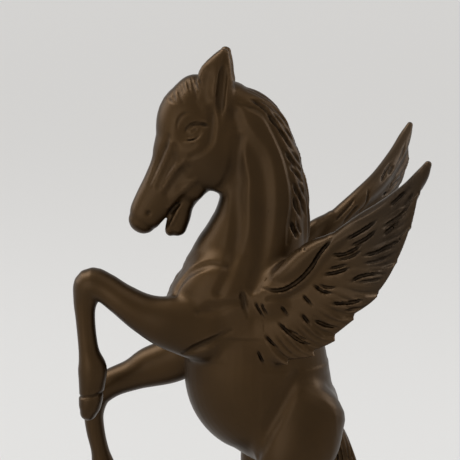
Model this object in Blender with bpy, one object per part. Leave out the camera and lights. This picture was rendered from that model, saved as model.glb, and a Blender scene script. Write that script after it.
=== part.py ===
"""Rearing winged horse: a table-top bronze on a stone plinth.

The figure is cast in nine pieces that are brazed together over alignment dowels.
Studs in the hind hooves hold it down through a bronze ground and the plinth.
The horse faces -X, its left side faces -Y, and the origin is under the plinth's centre.
"""

import math

import bmesh
import bpy
import numpy as np
from mathutils import Matrix, Vector

# Driving dimensions, in metres
FIGURE_HEIGHT = 0.292
WING_SPREAD = 0.136
GROUND_MARGIN = 0.013
GROUND_WIDTH = 0.080
GROUND_HEIGHT = 0.0115
PLINTH_MARGIN = 0.009
PLINTH_HEIGHT = 0.020
PLINTH_BEVEL = 0.003
FELT_THICKNESS = 0.0016
FELT_INSET = 0.004

# Joints and fasteners, in metres
SEAM_GAP = 0.0003
DOWEL_DIAMETER = 0.003
DOWEL_LENGTH = 0.014
STUD_DIAMETER = 0.004
STUD_GRIP = 0.008
WASHER_DIAMETER = 0.010
WASHER_THICKNESS = 0.001
NUT_ACROSS_FLATS = 0.007
NUT_HEIGHT = 0.0032
COUNTERBORE_CLEARANCE = 0.0015
NUT_COVER = 0.0015

# Modelling grain
CLAY_GRAIN = 0.001
CLAY_SMOOTHING = 4
CLAY_FACES = 8900

# The figure's stations are written in millimetres above the hoof soles, at this height
# and with the wing tips this far apart.
DRAWN_HEIGHT = 292.0
DRAWN_SPREAD = 136.0

# Each station is x, y, z, half depth in the limb's plane, half width across it
TRUNK = [
    (-12, 0, 198, 19, 12), (-11, 0, 181, 32, 20.5), (-7, 0, 157, 32.5, 23),
    (-6.5, 0, 135, 32, 23), (3, 0, 119, 24.5, 22), (12, 0, 107, 16.5, 17), (19, 0, 101, 9, 11),
]
NECK = [
    (-11, 0, 188, 27.5, 18), (-6, 0, 212, 22, 14.5), (-4, 0, 230, 18.5, 12),
    (-5, 0, 247, 15, 10.5), (-10.5, 0, 260, 12.5, 9.5), (-18, 0, 268, 8.5, 8),
]
MANE = [
    (-15, 0, 270, 4, 3.5), (-7.5, 0, 267.5, 5, 4), (-1, 0, 262, 5.4, 4.4), (4.2, 0, 254.5, 5.6, 4.6),
    (8.2, 0, 244, 5.6, 4.8), (10.8, 0, 233, 5.6, 5), (12.6, 0, 221, 5.8, 5.2), (13, 0, 208, 5.6, 5.2),
    (10.5, 0, 198, 5, 5), (7, 0, 191, 4, 4),
]
HEAD = [
    (-25, 0, 272, 7, 8), (-34.5, 0, 262.5, 15.5, 11.5), (-36.3, 0, 249.2, 17.2, 12),
    (-40.3, 0, 237.6, 15.5, 10), (-47.4, 0, 228.6, 11.5, 8), (-53.9, 0, 219.6, 9.4, 6.9),
    (-57.5, 0, 214.4, 8, 6.6), (-58.9, 0, 212.2, 6.6, 5.8),
]
JAW = [
    (-30, 0, 235, 7, 8), (-35.5, 0, 226, 5.2, 6.2), (-39.5, 0, 218.5, 4.9, 5.2), (-42, 0, 213, 5.2, 4.8),
    (-43.2, 0, 210.8, 5.2, 4.5),
]
EAR = [
    (-23, 6.4, 257, 6, 3.6), (-24.5, 7, 266, 8, 4.2), (-24.8, 7.5, 274, 8.3, 4.3),
    (-24.2, 7.4, 280, 7.9, 3.8), (-22.6, 7.1, 284.5, 5.9, 3.2), (-21.3, 6.8, 288, 3.9, 2.5),
    (-20.6, 6.6, 290, 2.4, 1.9),
]
LEFT_FORELEG = [
    (-28, -16, 165, 14, 9), (-45, -17, 168.3, 12.3, 9), (-56.7, -17, 172.6, 9.3, 8),
    (-66.8, -17, 179, 7.4, 7.2), (-74.5, -16.2, 184, 7, 6.6), (-80.8, -15.6, 185, 8, 6.8),
    (-83.6, -15.3, 177.5, 5.6, 5.4), (-83.8, -15.2, 169.2, 4.5, 4.5), (-82.6, -15, 154.6, 4.7, 4.5),
    (-81, -15, 146, 6.7, 5.5), (-81.3, -15, 139, 6.2, 5.4), (-81.9, -15, 132.9, 5.4, 5),
]
LEFT_FORE_HOOF = [(-82, -15, 131, 5.5, 5.6), (-82.6, -15, 127, 5, 5.6), (-83.2, -15, 124.6, 3.9, 5)]
RIGHT_FORELEG = [
    (-30, 16, 154, 13, 9), (-45, 16.5, 142.5, 11.3, 8.8), (-58, 16, 137.6, 9.8, 8),
    (-66.5, 15.6, 133.8, 7.7, 7), (-76, 15, 130, 7, 6.6), (-83.2, 14.6, 125, 7.2, 6.5),
    (-85.2, 14.2, 115.5, 5, 4.9), (-84.5, 14, 106, 4.5, 4.2), (-82.4, 14, 95.7, 4.4, 4.3),
    (-80.8, 14, 86.5, 6, 5.2), (-81.2, 14, 79.5, 5, 4.8),
]
RIGHT_FORE_HOOF = [(-81.4, 14, 79.5, 5.6, 5.4), (-82.6, 14, 73, 6, 5.8), (-83.6, 14, 67, 5.6, 5.6)]
LEFT_HIND_LEG = [
    (20, -12, 126, 16, 11), (14.5, -16, 113, 18, 12), (10, -18, 98, 15, 11),
    (13, -17.5, 80, 10.5, 8.5), (22, -17, 64, 7.4, 6.6), (28, -16.5, 54, 7, 6),
    (28, -16, 45, 5.6, 5.2), (25, -16, 32, 4.7, 4.6), (21.5, -16, 20, 5, 5),
    (19.5, -16, 14.5, 6, 5.6), (16, -16, 10, 5, 5),
]
RIGHT_HIND_LEG = [
    (18, 12, 124, 16, 11), (8, 16, 111, 17.5, 12), (0, 18, 94, 14.5, 11),
    (-1, 17.5, 77, 10.5, 8.5), (6, 17, 62.5, 7.4, 6.6), (12, 16.5, 53, 7, 6),
    (12, 16, 44.5, 5.6, 5.2), (8.5, 16, 31.5, 4.7, 4.6), (4.5, 16, 19.5, 5, 5),
    (2.5, 16, 14.5, 6, 5.6), (-1, 16, 10, 5, 5),
]
# Each hock's point and the tendon that rises from it, from the leg's bend at x, y, z
HOCKS = [(28, -16.5, 54), (12, 16.5, 53)]
TAIL = [
    (24, 0, 119, 5, 6), (30, 1, 111.5, 5.5, 6), (34.5, 2, 99.5, 6, 6.5), (38, 3, 84, 7.3, 7.5),
    (41.5, 3.5, 66, 8.6, 8.5), (44, 3.5, 47, 8.6, 8), (45, 3.2, 29, 7.6, 7.2),
    (46.5, 2.6, 13, 6, 6), (49, 2, 2, 4, 4.6),
]
# Each muscle is a centre, three half sizes and a turn about Y in degrees
RUMP = ((17.5, 0, 122), (14.5, 17, 19), 0)
SHOULDER = ((-22, 12.5, 178), (19, 10.5, 22), 20)
BREAST = ((-33, 13, 163), (12, 9, 12), 0)
CHEST = ((-35.5, 7, 176), (12, 9, 17), 0)
THIGH = ((15, 14, 121), (16, 10.5, 22), -12)
POLL = ((-33, 0, 271.5), (8, 8, 8.5), 0)
THROAT = ((-23.5, 0, 238), (9, 8, 11), 0)
CHEEK = ((-28, 6.5, 244), (11, 5, 13), 10)
JOWL = ((-25, 5.5, 238.5), (9.5, 5.5, 11), 0)
EYE = ((-33.2, 11.2, 254.9), (4.4, 2.2, 2.6), -29)
WING_ROOT = ((3, 19.5, 179.5), (11, 6.2, 9), 0)

# The right wing is drawn, and the left one mirrors it
WING_ARM = [
    (-9, 14, 177, 5, 5), (1, 19, 184.2, 4, 4.8), (10, 21.5, 187.6, 3.8, 4.8), (17.5, 23.5, 193, 3.8, 4.8),
    (24, 25.5, 201, 3.8, 4.6), (31, 28, 209.3, 4.2, 4.4), (41, 32, 217.8, 4.4, 3.8),
    (51, 41, 226.2, 4.3, 3.2), (59.5, 54, 236, 3.8, 2.6), (64.2, 62.5, 243.8, 3, 2),
    (66.8, 66, 249.6, 1.5, 1.3),
]
WING_LOBE = [
    (-5, 12, 186, 3, 4), (2, 16.5, 188.8, 3.6, 4.8), (7, 17.8, 191.8, 4.6, 5.2), (12, 19, 196.3, 5.2, 5.2),
    (17, 20.5, 201.6, 4.8, 5), (22, 23, 206.5, 3.4, 4.4), (27.5, 26.5, 210.8, 1.4, 2.6),
]
# The web behind the feathers in two reaches, each the way it faces and its stations
WING_WEBS = [
    ((-0.25, 0.97, 0), [
        (3, 21.3, 169, 12, 3.2), (15.5, 24.4, 170.8, 14, 3), (22.6, 25.7, 177, 12.8, 2.8),
        (29.2, 27.4, 185.7, 12.6, 2.6), (38, 30.5, 196.5, 11, 2.4)]),
    ((-0.66, 0.75, 0), [
        (33, 28.5, 190, 10, 2.4), (41, 32.2, 199.8, 12, 2.6), (48.5, 38.8, 211.3, 8.6, 2.5),
        (56.5, 51.2, 224.8, 5, 2.2), (61.5, 60, 235, 2.4, 1.6)]),
]
# Each flight feather is its half width and the spine it follows from the arm to its tip
FLIGHT_FEATHERS = [
    (6.6, [(38, 30.5, 212), (51, 42, 219.5), (59.5, 56, 228.5), (63.4, 62, 236)]),
    (7.4, [(33, 28.5, 205), (46, 36, 208), (55.5, 49, 213.5), (60, 57, 220)]),
    (8.0, [(27, 26.5, 197.5), (39, 31, 197.5), (49, 39, 199), (54.6, 47.5, 202.5)]),
    (8.0, [(20, 25, 190.5), (31.5, 28, 187.5), (41, 32.3, 185.5), (47.6, 38, 186.6)]),
    (7.8, [(13, 24, 185), (23.5, 26.2, 179.5), (32, 28.2, 175.6), (37.6, 30.3, 174.6)]),
    (7.4, [(7, 23, 181.5), (15.5, 24.8, 173.5), (23.5, 26.4, 167), (29.4, 27.6, 164.4)]),
    (7.0, [(1, 21.5, 179), (7.5, 24, 169), (14.5, 25.6, 161.4), (20, 26.4, 157.2)]),
    (6.4, [(-5, 19.5, 177), (-1.5, 23, 165), (3.5, 24.4, 157), (9, 25, 152.2)]),
]
FEATHER_PROFILE = ((0, 0.85, 0.9), (0.3, 1, 1), (0.65, 1.05, 0.95), (0.88, 0.72, 0.85), (1, 0.25, 0.6))
FEATHER_HALF_THICKNESS = 2.7
COVERT_REACH = 0.55
COVERT_WIDTH = 0.86
COVERT_HALF_THICKNESS = 3.1

# The gap between the lips, as an outline in x and z
OPEN_MOUTH = [(-55.5, 202), (-48.6, 202), (-47.2, 214.6), (-48, 214.6)]
MOUTH_HALF_WIDTH = 14

# Where each casting is parted from the body: an outline in x and z, a reach in y,
# and the dowel's middle and direction. The outline's body side is the joint.
PARTINGS = {
    "head": (
        [(-13.5, 280), (-22.5, 228.5), (-40, 203.5), (-75, 196), (-75, 301), (-10, 301)],
        (-25, 25), (-18.5, 0, 251), (-0.985, 0, 0.172),
    ),
    "left_foreleg": (
        [(-46.5, 186), (-56.5, 153), (-72, 112), (-100, 112), (-100, 200), (-60, 200)],
        (-32, -3), (-51, -17, 172), (-0.93, 0, 0.37),
    ),
    "right_foreleg": (
        [(-57.5, 150), (-42.5, 128), (-62, 58), (-102, 58), (-102, 150)],
        (3, 30), (-51.3, 16.3, 141), (-0.906, 0, -0.423),
    ),
    "left_hind_leg": (
        [(-10, 78), (42, 78), (42, -9), (-10, -9)],
        (-32, -6.5), (13.8, -17.5, 78), (0.4, 0, -0.92),
    ),
    "right_hind_leg": (
        [(-22, 76), (24, 76), (24, -9), (-22, -9)],
        (6.5, 34), (-0.7, 17.5, 76), (0.2, 0, -0.98),
    ),
    "tail": (
        [(45, 114.5), (27.5, 99.7), (27.5, -9), (80, -9), (80, 114.5)],
        (-9, 14), (33, 1.7, 104.3), (0.29, 0.08, -0.95),
    ),
}
# A wing is parted on a plane that leans along the flank: a point, its outward direction
# and the reach of the block behind it.
WING_SEAT = (0, 22.5, 175)
WING_OUT = (0.26, 0.96, 0.1)
WING_BLOCK = [(-16, -31), (86, -31), (86, 86), (-16, 86)]
WING_BLOCK_DEPTH = 76
WING_DOWEL = ((2, 21.5, 178.5), (0.74, 0.21, 0.64))

# What is trimmed off under the soles, so that hooves and tail stand flat
FLOOR_REACH = 120
UNDER_SOLES = [(-FLOOR_REACH, 0), (-FLOOR_REACH, -20), (FLOOR_REACH, -20), (FLOOR_REACH, 0)]

# Hoof stance: where each hind hoof's stud goes up, in x and y
STUD_PLACES = {"left": (11, -16), "right": (-6, 16)}

BRONZE = ((0.075, 0.047, 0.031, 1), 0.38, 0.9)
BRASS = ((0.45, 0.33, 0.14, 1), 0.35, 1.0)
STEEL = ((0.42, 0.43, 0.44, 1), 0.35, 1.0)
STONE = ((0.018, 0.018, 0.02, 1), 0.16, 0.0)
FELT = ((0.03, 0.05, 0.035, 1), 0.95, 0.0)

FIGURE_SCALE = FIGURE_HEIGHT / DRAWN_HEIGHT
SOLE_HEIGHT = FELT_THICKNESS + PLINTH_HEIGHT + GROUND_HEIGHT + 3 * SEAM_GAP
GROUND_BOTTOM = FELT_THICKNESS + PLINTH_HEIGHT + 2 * SEAM_GAP
PLINTH_BOTTOM = FELT_THICKNESS + SEAM_GAP
GROUND_LENGTH = 2 * (TAIL[-1][0] * FIGURE_SCALE + GROUND_MARGIN)


def spread_side(y):
    """Stretch a wing's sideways reach outside its root to the wing spread."""
    root = WING_SEAT[1]
    if y <= root:
        return y
    stretch = (WING_SPREAD / FIGURE_SCALE - 2 * root) / (DRAWN_SPREAD - 2 * root)
    return root + (y - root) * stretch


def mirrored(stations):
    """The same stations on the other side of the horse."""
    return [(s[0], -s[1], *s[2:]) for s in stations]


def along(points, t):
    """A point on the smooth curve through the given points, for t from 0 to 1."""
    table = np.array(points, float)
    last = len(table) - 1
    step = min(int(t * last), last - 1)
    u = t * last - step
    before = table[max(step - 1, 0)]
    start, end = table[step], table[step + 1]
    after = table[min(step + 2, last)]
    return 0.5 * (
        2 * start + (end - before) * u
        + (2 * before - 5 * start + 4 * end - after) * u * u
        + (3 * start - before - 3 * end + after) * u ** 3
    )


def loft(clay, stations, side=(0, 1, 0), around=20, steps=4):
    """Skin elliptical rings along the stations and close both ends with small domes."""
    count = (len(stations) - 1) * steps
    path = [along(stations, i / count) for i in range(count + 1)]
    side = Vector(side)
    rings = []
    for index, here in enumerate(path):
        ahead = path[min(index + 1, count)]
        behind = path[max(index - 1, 0)]
        tangent = Vector(ahead[:3] - behind[:3]).normalized()
        across = (side - tangent * side.dot(tangent)).normalized()
        depth = across.cross(tangent)
        domes = [(1.0, 0.0)]
        if index == 0:
            domes = [(0.5, -0.75), (0.85, -0.45), (1.0, 0.0)]
        if index == count:
            domes = [(1.0, 0.0), (0.85, 0.45), (0.5, 0.75)]
        for shrink, push in domes:
            centre = Vector(here[:3]) + tangent * push * min(here[3], here[4])
            ring = []
            for k in range(around):
                turn = 2 * math.pi * k / around
                offset = depth * here[3] * math.cos(turn) + across * here[4] * math.sin(turn)
                ring.append(clay.verts.new(centre + offset * shrink))
            rings.append(ring)
    for low, high in zip(rings, rings[1:]):
        for k in range(around):
            nxt = (k + 1) % around
            clay.faces.new((low[k], low[nxt], high[nxt], high[k]))
    clay.faces.new(list(reversed(rings[0])))
    clay.faces.new(rings[-1])


def muscle(clay, centre, radii, turn, side=1):
    """One swelling of the body: a stretched ball, turned about Y."""
    place = Matrix.Translation((centre[0], centre[1] * side, centre[2]))
    shape = Matrix.Rotation(math.radians(turn), 4, "Y") @ Matrix.Diagonal((*radii, 1))
    bmesh.ops.create_uvsphere(clay, u_segments=24, v_segments=14, radius=1, matrix=place @ shape)


def hind_hoof(clay, stud):
    """A hoof that stands on the ground, leaning back over its stud."""
    x, y = stud
    loft(clay, [(x + 2.5, y, 9.5, 6.3, 6), (x, y, 5, 7.6, 6.8), (x - 1.5, y, -0.5, 8.6, 7.4)])


def hock(clay, bend):
    """The point of a hock behind the leg's bend, and the tendon that runs up from it."""
    x, y, z = bend
    muscle(clay, (x + 5, y, z + 5), (3.6, 3.2, 4.6), -25)
    loft(clay, [(x + 5, y, z + 6, 2.2, 2), (x - 2.5, y, z + 20, 2.2, 2), (x - 12, y, z + 34, 4, 3)])


def feather(spine, reach, half_width, half_thickness):
    """A flat blade along part of its spine, facing out of the wing."""
    root, tip = Vector(spine[0]), Vector(along(spine, reach))
    lean = Vector(FLIGHT_FEATHERS[1][1][-1]) - Vector(FLIGHT_FEATHERS[5][1][-1])
    facing = (tip - root).cross(lean).normalized()
    if facing.y < 0:
        facing = -facing
    blade = []
    for share, width, thickness in FEATHER_PROFILE:
        blade.append((*along(spine, share * reach), half_width * width, half_thickness * thickness))
    return blade, facing


def wing(clay, side):
    """The arm, the lobe above it, the web, the flight feathers and the coverts over their roots."""
    blades = [(stations, Vector((0, 1, 0))) for stations in (WING_ARM, WING_LOBE)]
    blades += [(stations, Vector(facing)) for facing, stations in WING_WEBS]
    for half_width, spine in FLIGHT_FEATHERS:
        blades.append(feather(spine, 1.0, half_width, FEATHER_HALF_THICKNESS))
        blades.append(feather(spine, COVERT_REACH, half_width * COVERT_WIDTH, COVERT_HALF_THICKNESS))
    for stations, facing in blades:
        spread = [(s[0], side * spread_side(s[1]), *s[2:]) for s in stations]
        loft(clay, spread, side=(facing.x, side * facing.y, facing.z), around=16)


def scaled(clay):
    """Bring the drawn millimetres to the figure's real height."""
    bmesh.ops.scale(clay, vec=Vector.Fill(3, FIGURE_SCALE), verts=clay.verts)


def mesh_object(name, clay, parent=None):
    """Turn a bmesh into a scene object with its faces pointing out."""
    bmesh.ops.recalc_face_normals(clay, faces=clay.faces)
    data = bpy.data.meshes.new(name)
    clay.to_mesh(data)
    clay.free()
    made = bpy.data.objects.new(name, data)
    made.parent = parent
    bpy.context.scene.collection.objects.link(made)
    return made


def hide(made):
    """Mark a cutter or a guide, which is not a piece of the object."""
    made.hide_render = True
    made.display_type = "WIRE"
    return made


def finish(made, look):
    """Give a piece its own material and smooth shading."""
    colour, roughness, metallic = look
    surface = bpy.data.materials.new(made.name)
    surface.use_nodes = True
    shader = surface.node_tree.nodes["Principled BSDF"]
    shader.inputs["Base Color"].default_value = colour
    shader.inputs["Roughness"].default_value = roughness
    shader.inputs["Metallic"].default_value = metallic
    made.data.materials.clear()
    made.data.materials.append(surface)
    made.data.shade_smooth()
    made.data.set_sharp_from_angle(angle=math.radians(40))


def boolean(made, operation, tool):
    """Cut a piece with a tool, or keep only what lies inside it."""
    step = made.modifiers.new(tool.name, "BOOLEAN")
    step.operation = operation
    step.object = tool


def prism(name, outline, low, high, place=Matrix(), parent=None):
    """A straight block: an outline in local x and z, carried along local y."""
    block = bmesh.new()
    near = [block.verts.new(place @ Vector((x, low, z))) for x, z in outline]
    far = [block.verts.new(place @ Vector((x, high, z))) for x, z in outline]
    block.faces.new(near)
    block.faces.new(list(reversed(far)))
    for k in range(len(outline)):
        nxt = (k + 1) % len(outline)
        block.faces.new((near[nxt], near[k], far[k], far[nxt]))
    scaled(block)
    return hide(mesh_object(name, block, parent))


def rod(name, diameter, length, parent=None, sides=12, bevel=0.0):
    """A round bar along local Z, standing on its local origin's middle."""
    bar = bmesh.new()
    bmesh.ops.create_cone(
        bar, cap_ends=True, segments=sides, radius1=diameter / 2, radius2=diameter / 2, depth=length)
    if bevel:
        rims = [e for e in bar.edges if abs(e.verts[0].co.z - e.verts[1].co.z) < 1e-6]
        bmesh.ops.bevel(bar, geom=rims, offset=bevel, segments=1, affect="EDGES")
    return mesh_object(name, bar, parent)


def fitted(diameter, length):
    """The hole that a bar fits, with the seam's clearance all round."""
    return diameter + 2 * SEAM_GAP, length + 2 * SEAM_GAP


def model_figure():
    """Model the whole horse in one piece and return it as a closed mesh."""
    clay = bmesh.new()
    for stations in (TRUNK, NECK, MANE, HEAD, JAW, LEFT_FORELEG, LEFT_FORE_HOOF, RIGHT_FORELEG,
                     RIGHT_FORE_HOOF, LEFT_HIND_LEG, RIGHT_HIND_LEG, TAIL):
        loft(clay, stations)
    for swelling in (RUMP, POLL, THROAT):
        muscle(clay, *swelling)
    for side in (-1, 1):
        loft(clay, EAR if side > 0 else mirrored(EAR))
        for swelling in (SHOULDER, BREAST, CHEST, THIGH, EYE, CHEEK, JOWL, WING_ROOT):
            muscle(clay, *swelling, side=side)
        wing(clay, side)
    for stud in STUD_PLACES.values():
        hind_hoof(clay, stud)
    for bend in HOCKS:
        hock(clay, bend)
    scaled(clay)
    figure = hide(mesh_object("figure_clay", clay))
    blend = figure.modifiers.new("blend", "REMESH")
    blend.mode = "VOXEL"
    blend.voxel_size = CLAY_GRAIN
    soften = figure.modifiers.new("soften", "SMOOTH")
    soften.factor = 0.5
    soften.iterations = CLAY_SMOOTHING
    whole = bpy.data.meshes.new_from_object(figure.evaluated_get(bpy.context.evaluated_depsgraph_get()))
    figure.modifiers.clear()
    figure.data = whole
    thin = figure.modifiers.new("thin", "DECIMATE")
    thin.ratio = min(1.0, CLAY_FACES / (2 * len(whole.polygons)))
    floor = prism("under_soles", UNDER_SOLES, -FLOOR_REACH, FLOOR_REACH)
    mouth = prism("mouth_gap", OPEN_MOUTH, -MOUTH_HALF_WIDTH, MOUTH_HALF_WIDTH)
    for tool in (floor, mouth):
        boolean(figure, "DIFFERENCE", tool)
    facets = bpy.data.meshes.new_from_object(figure.evaluated_get(bpy.context.evaluated_depsgraph_get()))
    bpy.data.objects.remove(figure)
    return facets


def casting(name, facets, parent):
    """A fresh copy of the whole figure, ready to be cut down to one casting."""
    made = bpy.data.objects.new(name, facets.copy())
    made.parent = parent
    bpy.context.scene.collection.objects.link(made)
    return made


def wing_place(side):
    """The wing block's frame: local y looks out of the flank, local z stays upright."""
    out = Vector((WING_OUT[0], WING_OUT[1] * side, WING_OUT[2])).normalized()
    fore = Vector((out.y, -out.x, 0)).normalized() * side
    up = fore.cross(out) * side
    turn = Matrix((fore, out, up)).transposed().to_4x4()
    return Matrix.Translation((WING_SEAT[0], WING_SEAT[1] * side, WING_SEAT[2])) @ turn


def parting_blocks(name, stand):
    """The block that holds a casting, and the same block moved towards the body by the seam."""
    gap = SEAM_GAP / FIGURE_SCALE
    if name in PARTINGS:
        outline, (low, high), _, facing = PARTINGS[name]
        places = (Matrix(), Matrix.Translation(-gap * Vector(facing).normalized()))
    else:
        outline, low = WING_BLOCK, 0
        high = WING_BLOCK_DEPTH / DRAWN_SPREAD * WING_SPREAD / FIGURE_SCALE
        frame = wing_place(-1 if name.startswith("left") else 1)
        places = (frame, frame @ Matrix.Translation((0, -gap, 0)))
    keep = prism(name + "_block", outline, low, high, places[0], stand)
    cut = prism(name + "_room", outline, low, high, places[1], stand)
    return keep, cut


def dowel_axis(name):
    """The middle and direction of the dowel that lines a casting up with the body."""
    if name in PARTINGS:
        middle, facing = PARTINGS[name][2:]
    else:
        side = -1 if name.startswith("left") else 1
        middle, facing = ((p[0], p[1] * side, p[2]) for p in WING_DOWEL)
    return Vector(middle) * FIGURE_SCALE, Vector(facing).normalized()


def set_along(made, middle, facing):
    """Place a bar with its length along a direction."""
    made.location = middle
    made.rotation_euler = facing.to_track_quat("Z", "Y").to_euler()
    return made


def build_castings(stand):
    """Part the figure into its castings, with a dowel and its two blind holes at each joint."""
    facets = model_figure()
    body = casting("body", facets, stand)
    pieces = {"body": body}
    for name in (*PARTINGS, "left_wing", "right_wing"):
        keep, cut = parting_blocks(name, stand)
        piece = casting(name, facets, stand)
        boolean(piece, "INTERSECT", keep)
        boolean(body, "DIFFERENCE", cut)
        hole = hide(rod(name + "_dowel_hole", *fitted(DOWEL_DIAMETER, DOWEL_LENGTH), stand))
        dowel = rod(name + "_dowel", DOWEL_DIAMETER, DOWEL_LENGTH, stand, bevel=DOWEL_DIAMETER / 10)
        for bar in (hole, dowel):
            set_along(bar, *dowel_axis(name))
        boolean(piece, "DIFFERENCE", hole)
        boolean(body, "DIFFERENCE", hole)
        finish(dowel, BRASS)
        pieces[name] = piece
    for piece in pieces.values():
        finish(piece, BRONZE)
    return pieces


def build_ground():
    """The cast ground that the hooves stand on: a low mound with an uneven edge and a flat top."""
    ground = bmesh.new()
    around = 48
    rings = []
    for rise, inset in ((0, 0), (0.35, 0.015), (0.7, 0.06), (0.92, 0.12), (1, 0.19)):
        ring = []
        for k in range(around):
            turn = 2 * math.pi * k / around
            uneven = 1 - inset - 0.02 * math.sin(3 * turn + 1) - 0.012 * math.sin(7 * turn) * (1 + rise)
            reach = uneven / (abs(math.cos(turn)) ** 2.6 + abs(math.sin(turn)) ** 2.6) ** (1 / 2.6)
            ring.append(ground.verts.new((
                GROUND_LENGTH / 2 * reach * math.cos(turn),
                GROUND_WIDTH / 2 * reach * math.sin(turn),
                GROUND_HEIGHT * rise)))
        rings.append(ring)
    for low, high in zip(rings, rings[1:]):
        for k in range(around):
            nxt = (k + 1) % around
            ground.faces.new((low[k], low[nxt], high[nxt], high[k]))
    ground.faces.new(list(reversed(rings[0])))
    ground.faces.new(rings[-1])
    made = mesh_object("bronze_ground", ground)
    made.location.z = GROUND_BOTTOM
    finish(made, BRONZE)
    return made


def slab(name, length, width, height, bottom, corner):
    """A flat slab with rounded corners in plan."""
    plate = bmesh.new()
    bmesh.ops.create_cube(plate, size=1)
    bmesh.ops.scale(plate, vec=(length, width, height), verts=plate.verts)
    uprights = [e for e in plate.edges if abs(e.verts[0].co.z - e.verts[1].co.z) > height / 2]
    bmesh.ops.bevel(plate, geom=uprights, offset=corner, segments=5, affect="EDGES", profile=0.5)
    made = mesh_object(name, plate)
    made.location.z = bottom + height / 2
    return made


def build_base():
    """The polished plinth with its stepped top edge, and the felt under it."""
    length = GROUND_LENGTH + 2 * PLINTH_MARGIN
    width = GROUND_WIDTH + 2 * PLINTH_MARGIN
    plinth = slab("stone_plinth", length, width, PLINTH_HEIGHT, PLINTH_BOTTOM, PLINTH_MARGIN)
    edge = plinth.modifiers.new("edge", "BEVEL")
    edge.width = PLINTH_BEVEL
    edge.segments = 3
    edge.limit_method = "ANGLE"
    edge.angle_limit = math.radians(60)
    finish(plinth, STONE)
    inset = 2 * FELT_INSET
    felt = slab("felt_pad", length - inset, width - inset, FELT_THICKNESS, 0, PLINTH_MARGIN)
    finish(felt, FELT)
    return plinth


def upright(made, spot, height):
    """Stand a bar on the plan position with its middle at a height."""
    made.location = (*spot, height)
    return made


def build_fixings(hind_legs, ground, plinth):
    """A stud up into each hind hoof, with a washer and a nut in a recess under the plinth."""
    recess_depth = NUT_HEIGHT + WASHER_THICKNESS + 2 * SEAM_GAP + NUT_COVER
    stud_top = SOLE_HEIGHT + STUD_GRIP
    stud_bottom = PLINTH_BOTTOM + NUT_COVER / 2
    stud_length = stud_top - stud_bottom
    stud_middle = (stud_top + stud_bottom) / 2
    washer_middle = PLINTH_BOTTOM + recess_depth - SEAM_GAP - WASHER_THICKNESS / 2
    nut_middle = washer_middle - WASHER_THICKNESS / 2 - SEAM_GAP - NUT_HEIGHT / 2
    nut_across_corners = NUT_ACROSS_FLATS / math.cos(math.pi / 6)
    recess_diameter = WASHER_DIAMETER + 2 * COUNTERBORE_CLEARANCE
    for side, place in STUD_PLACES.items():
        spot = Vector(place) * FIGURE_SCALE
        stud = rod(side + "_hoof_stud", STUD_DIAMETER, stud_length, bevel=STUD_DIAMETER / 10)
        bore = hide(rod(side + "_stud_bore", *fitted(STUD_DIAMETER, stud_length)))
        recess = hide(rod(side + "_recess", recess_diameter, 2 * recess_depth, sides=24))
        washer = rod(side + "_washer", WASHER_DIAMETER, WASHER_THICKNESS, sides=24)
        nut = rod(side + "_nut", nut_across_corners, NUT_HEIGHT, sides=6)
        upright(stud, spot, stud_middle)
        upright(bore, spot, stud_middle)
        upright(recess, spot, PLINTH_BOTTOM)
        upright(washer, spot, washer_middle)
        upright(nut, spot, nut_middle)
        for holed in (hind_legs[side], ground, plinth, washer, nut):
            boolean(holed, "DIFFERENCE", bore)
        boolean(plinth, "DIFFERENCE", recess)
        for fixing in (stud, washer, nut):
            finish(fixing, STEEL)


def main():
    for old in list(bpy.data.objects):
        bpy.data.objects.remove(old)
    stand = bpy.data.objects.new("figure_stand", None)
    stand.location.z = SOLE_HEIGHT
    bpy.context.scene.collection.objects.link(stand)
    castings = build_castings(stand)
    ground = build_ground()
    plinth = build_base()
    hind_legs = {side: castings[side + "_hind_leg"] for side in STUD_PLACES}
    build_fixings(hind_legs, ground, plinth)


main()
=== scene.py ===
# %% [markdown]
# # A rearing winged horse, cast in bronze
#
# The real object is a table-top statuette: a winged horse that rears on its hind legs. A sculptor
# models it in clay or wax, a foundry casts it in several pieces, and the pieces are brazed together,
# chased, and given a brown patina that is waxed to a soft shine. This lesson follows the same order:
# model the clay, press the details into it, part it into its castings, and then finish the bronze.

# %% The frame: every CAD piece, already in place
import math

import bpy
import numpy as np
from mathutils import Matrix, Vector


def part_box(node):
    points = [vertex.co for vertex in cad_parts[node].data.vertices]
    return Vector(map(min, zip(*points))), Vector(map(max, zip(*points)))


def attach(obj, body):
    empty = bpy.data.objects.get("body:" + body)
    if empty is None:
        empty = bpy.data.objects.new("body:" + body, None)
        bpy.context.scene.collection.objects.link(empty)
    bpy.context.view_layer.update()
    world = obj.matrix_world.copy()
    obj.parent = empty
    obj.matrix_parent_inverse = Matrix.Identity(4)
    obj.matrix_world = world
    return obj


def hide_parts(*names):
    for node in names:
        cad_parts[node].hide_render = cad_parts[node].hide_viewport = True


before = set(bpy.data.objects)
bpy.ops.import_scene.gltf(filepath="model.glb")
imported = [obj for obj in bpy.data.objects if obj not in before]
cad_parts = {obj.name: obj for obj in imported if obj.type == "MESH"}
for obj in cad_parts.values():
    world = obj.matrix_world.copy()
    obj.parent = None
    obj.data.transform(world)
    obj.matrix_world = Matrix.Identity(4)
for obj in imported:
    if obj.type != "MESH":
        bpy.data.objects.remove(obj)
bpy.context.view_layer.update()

import openvdb
from mathutils import Matrix, Vector, noise

SOLE_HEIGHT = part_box("left_hind_leg")[0].z * 1000

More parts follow.
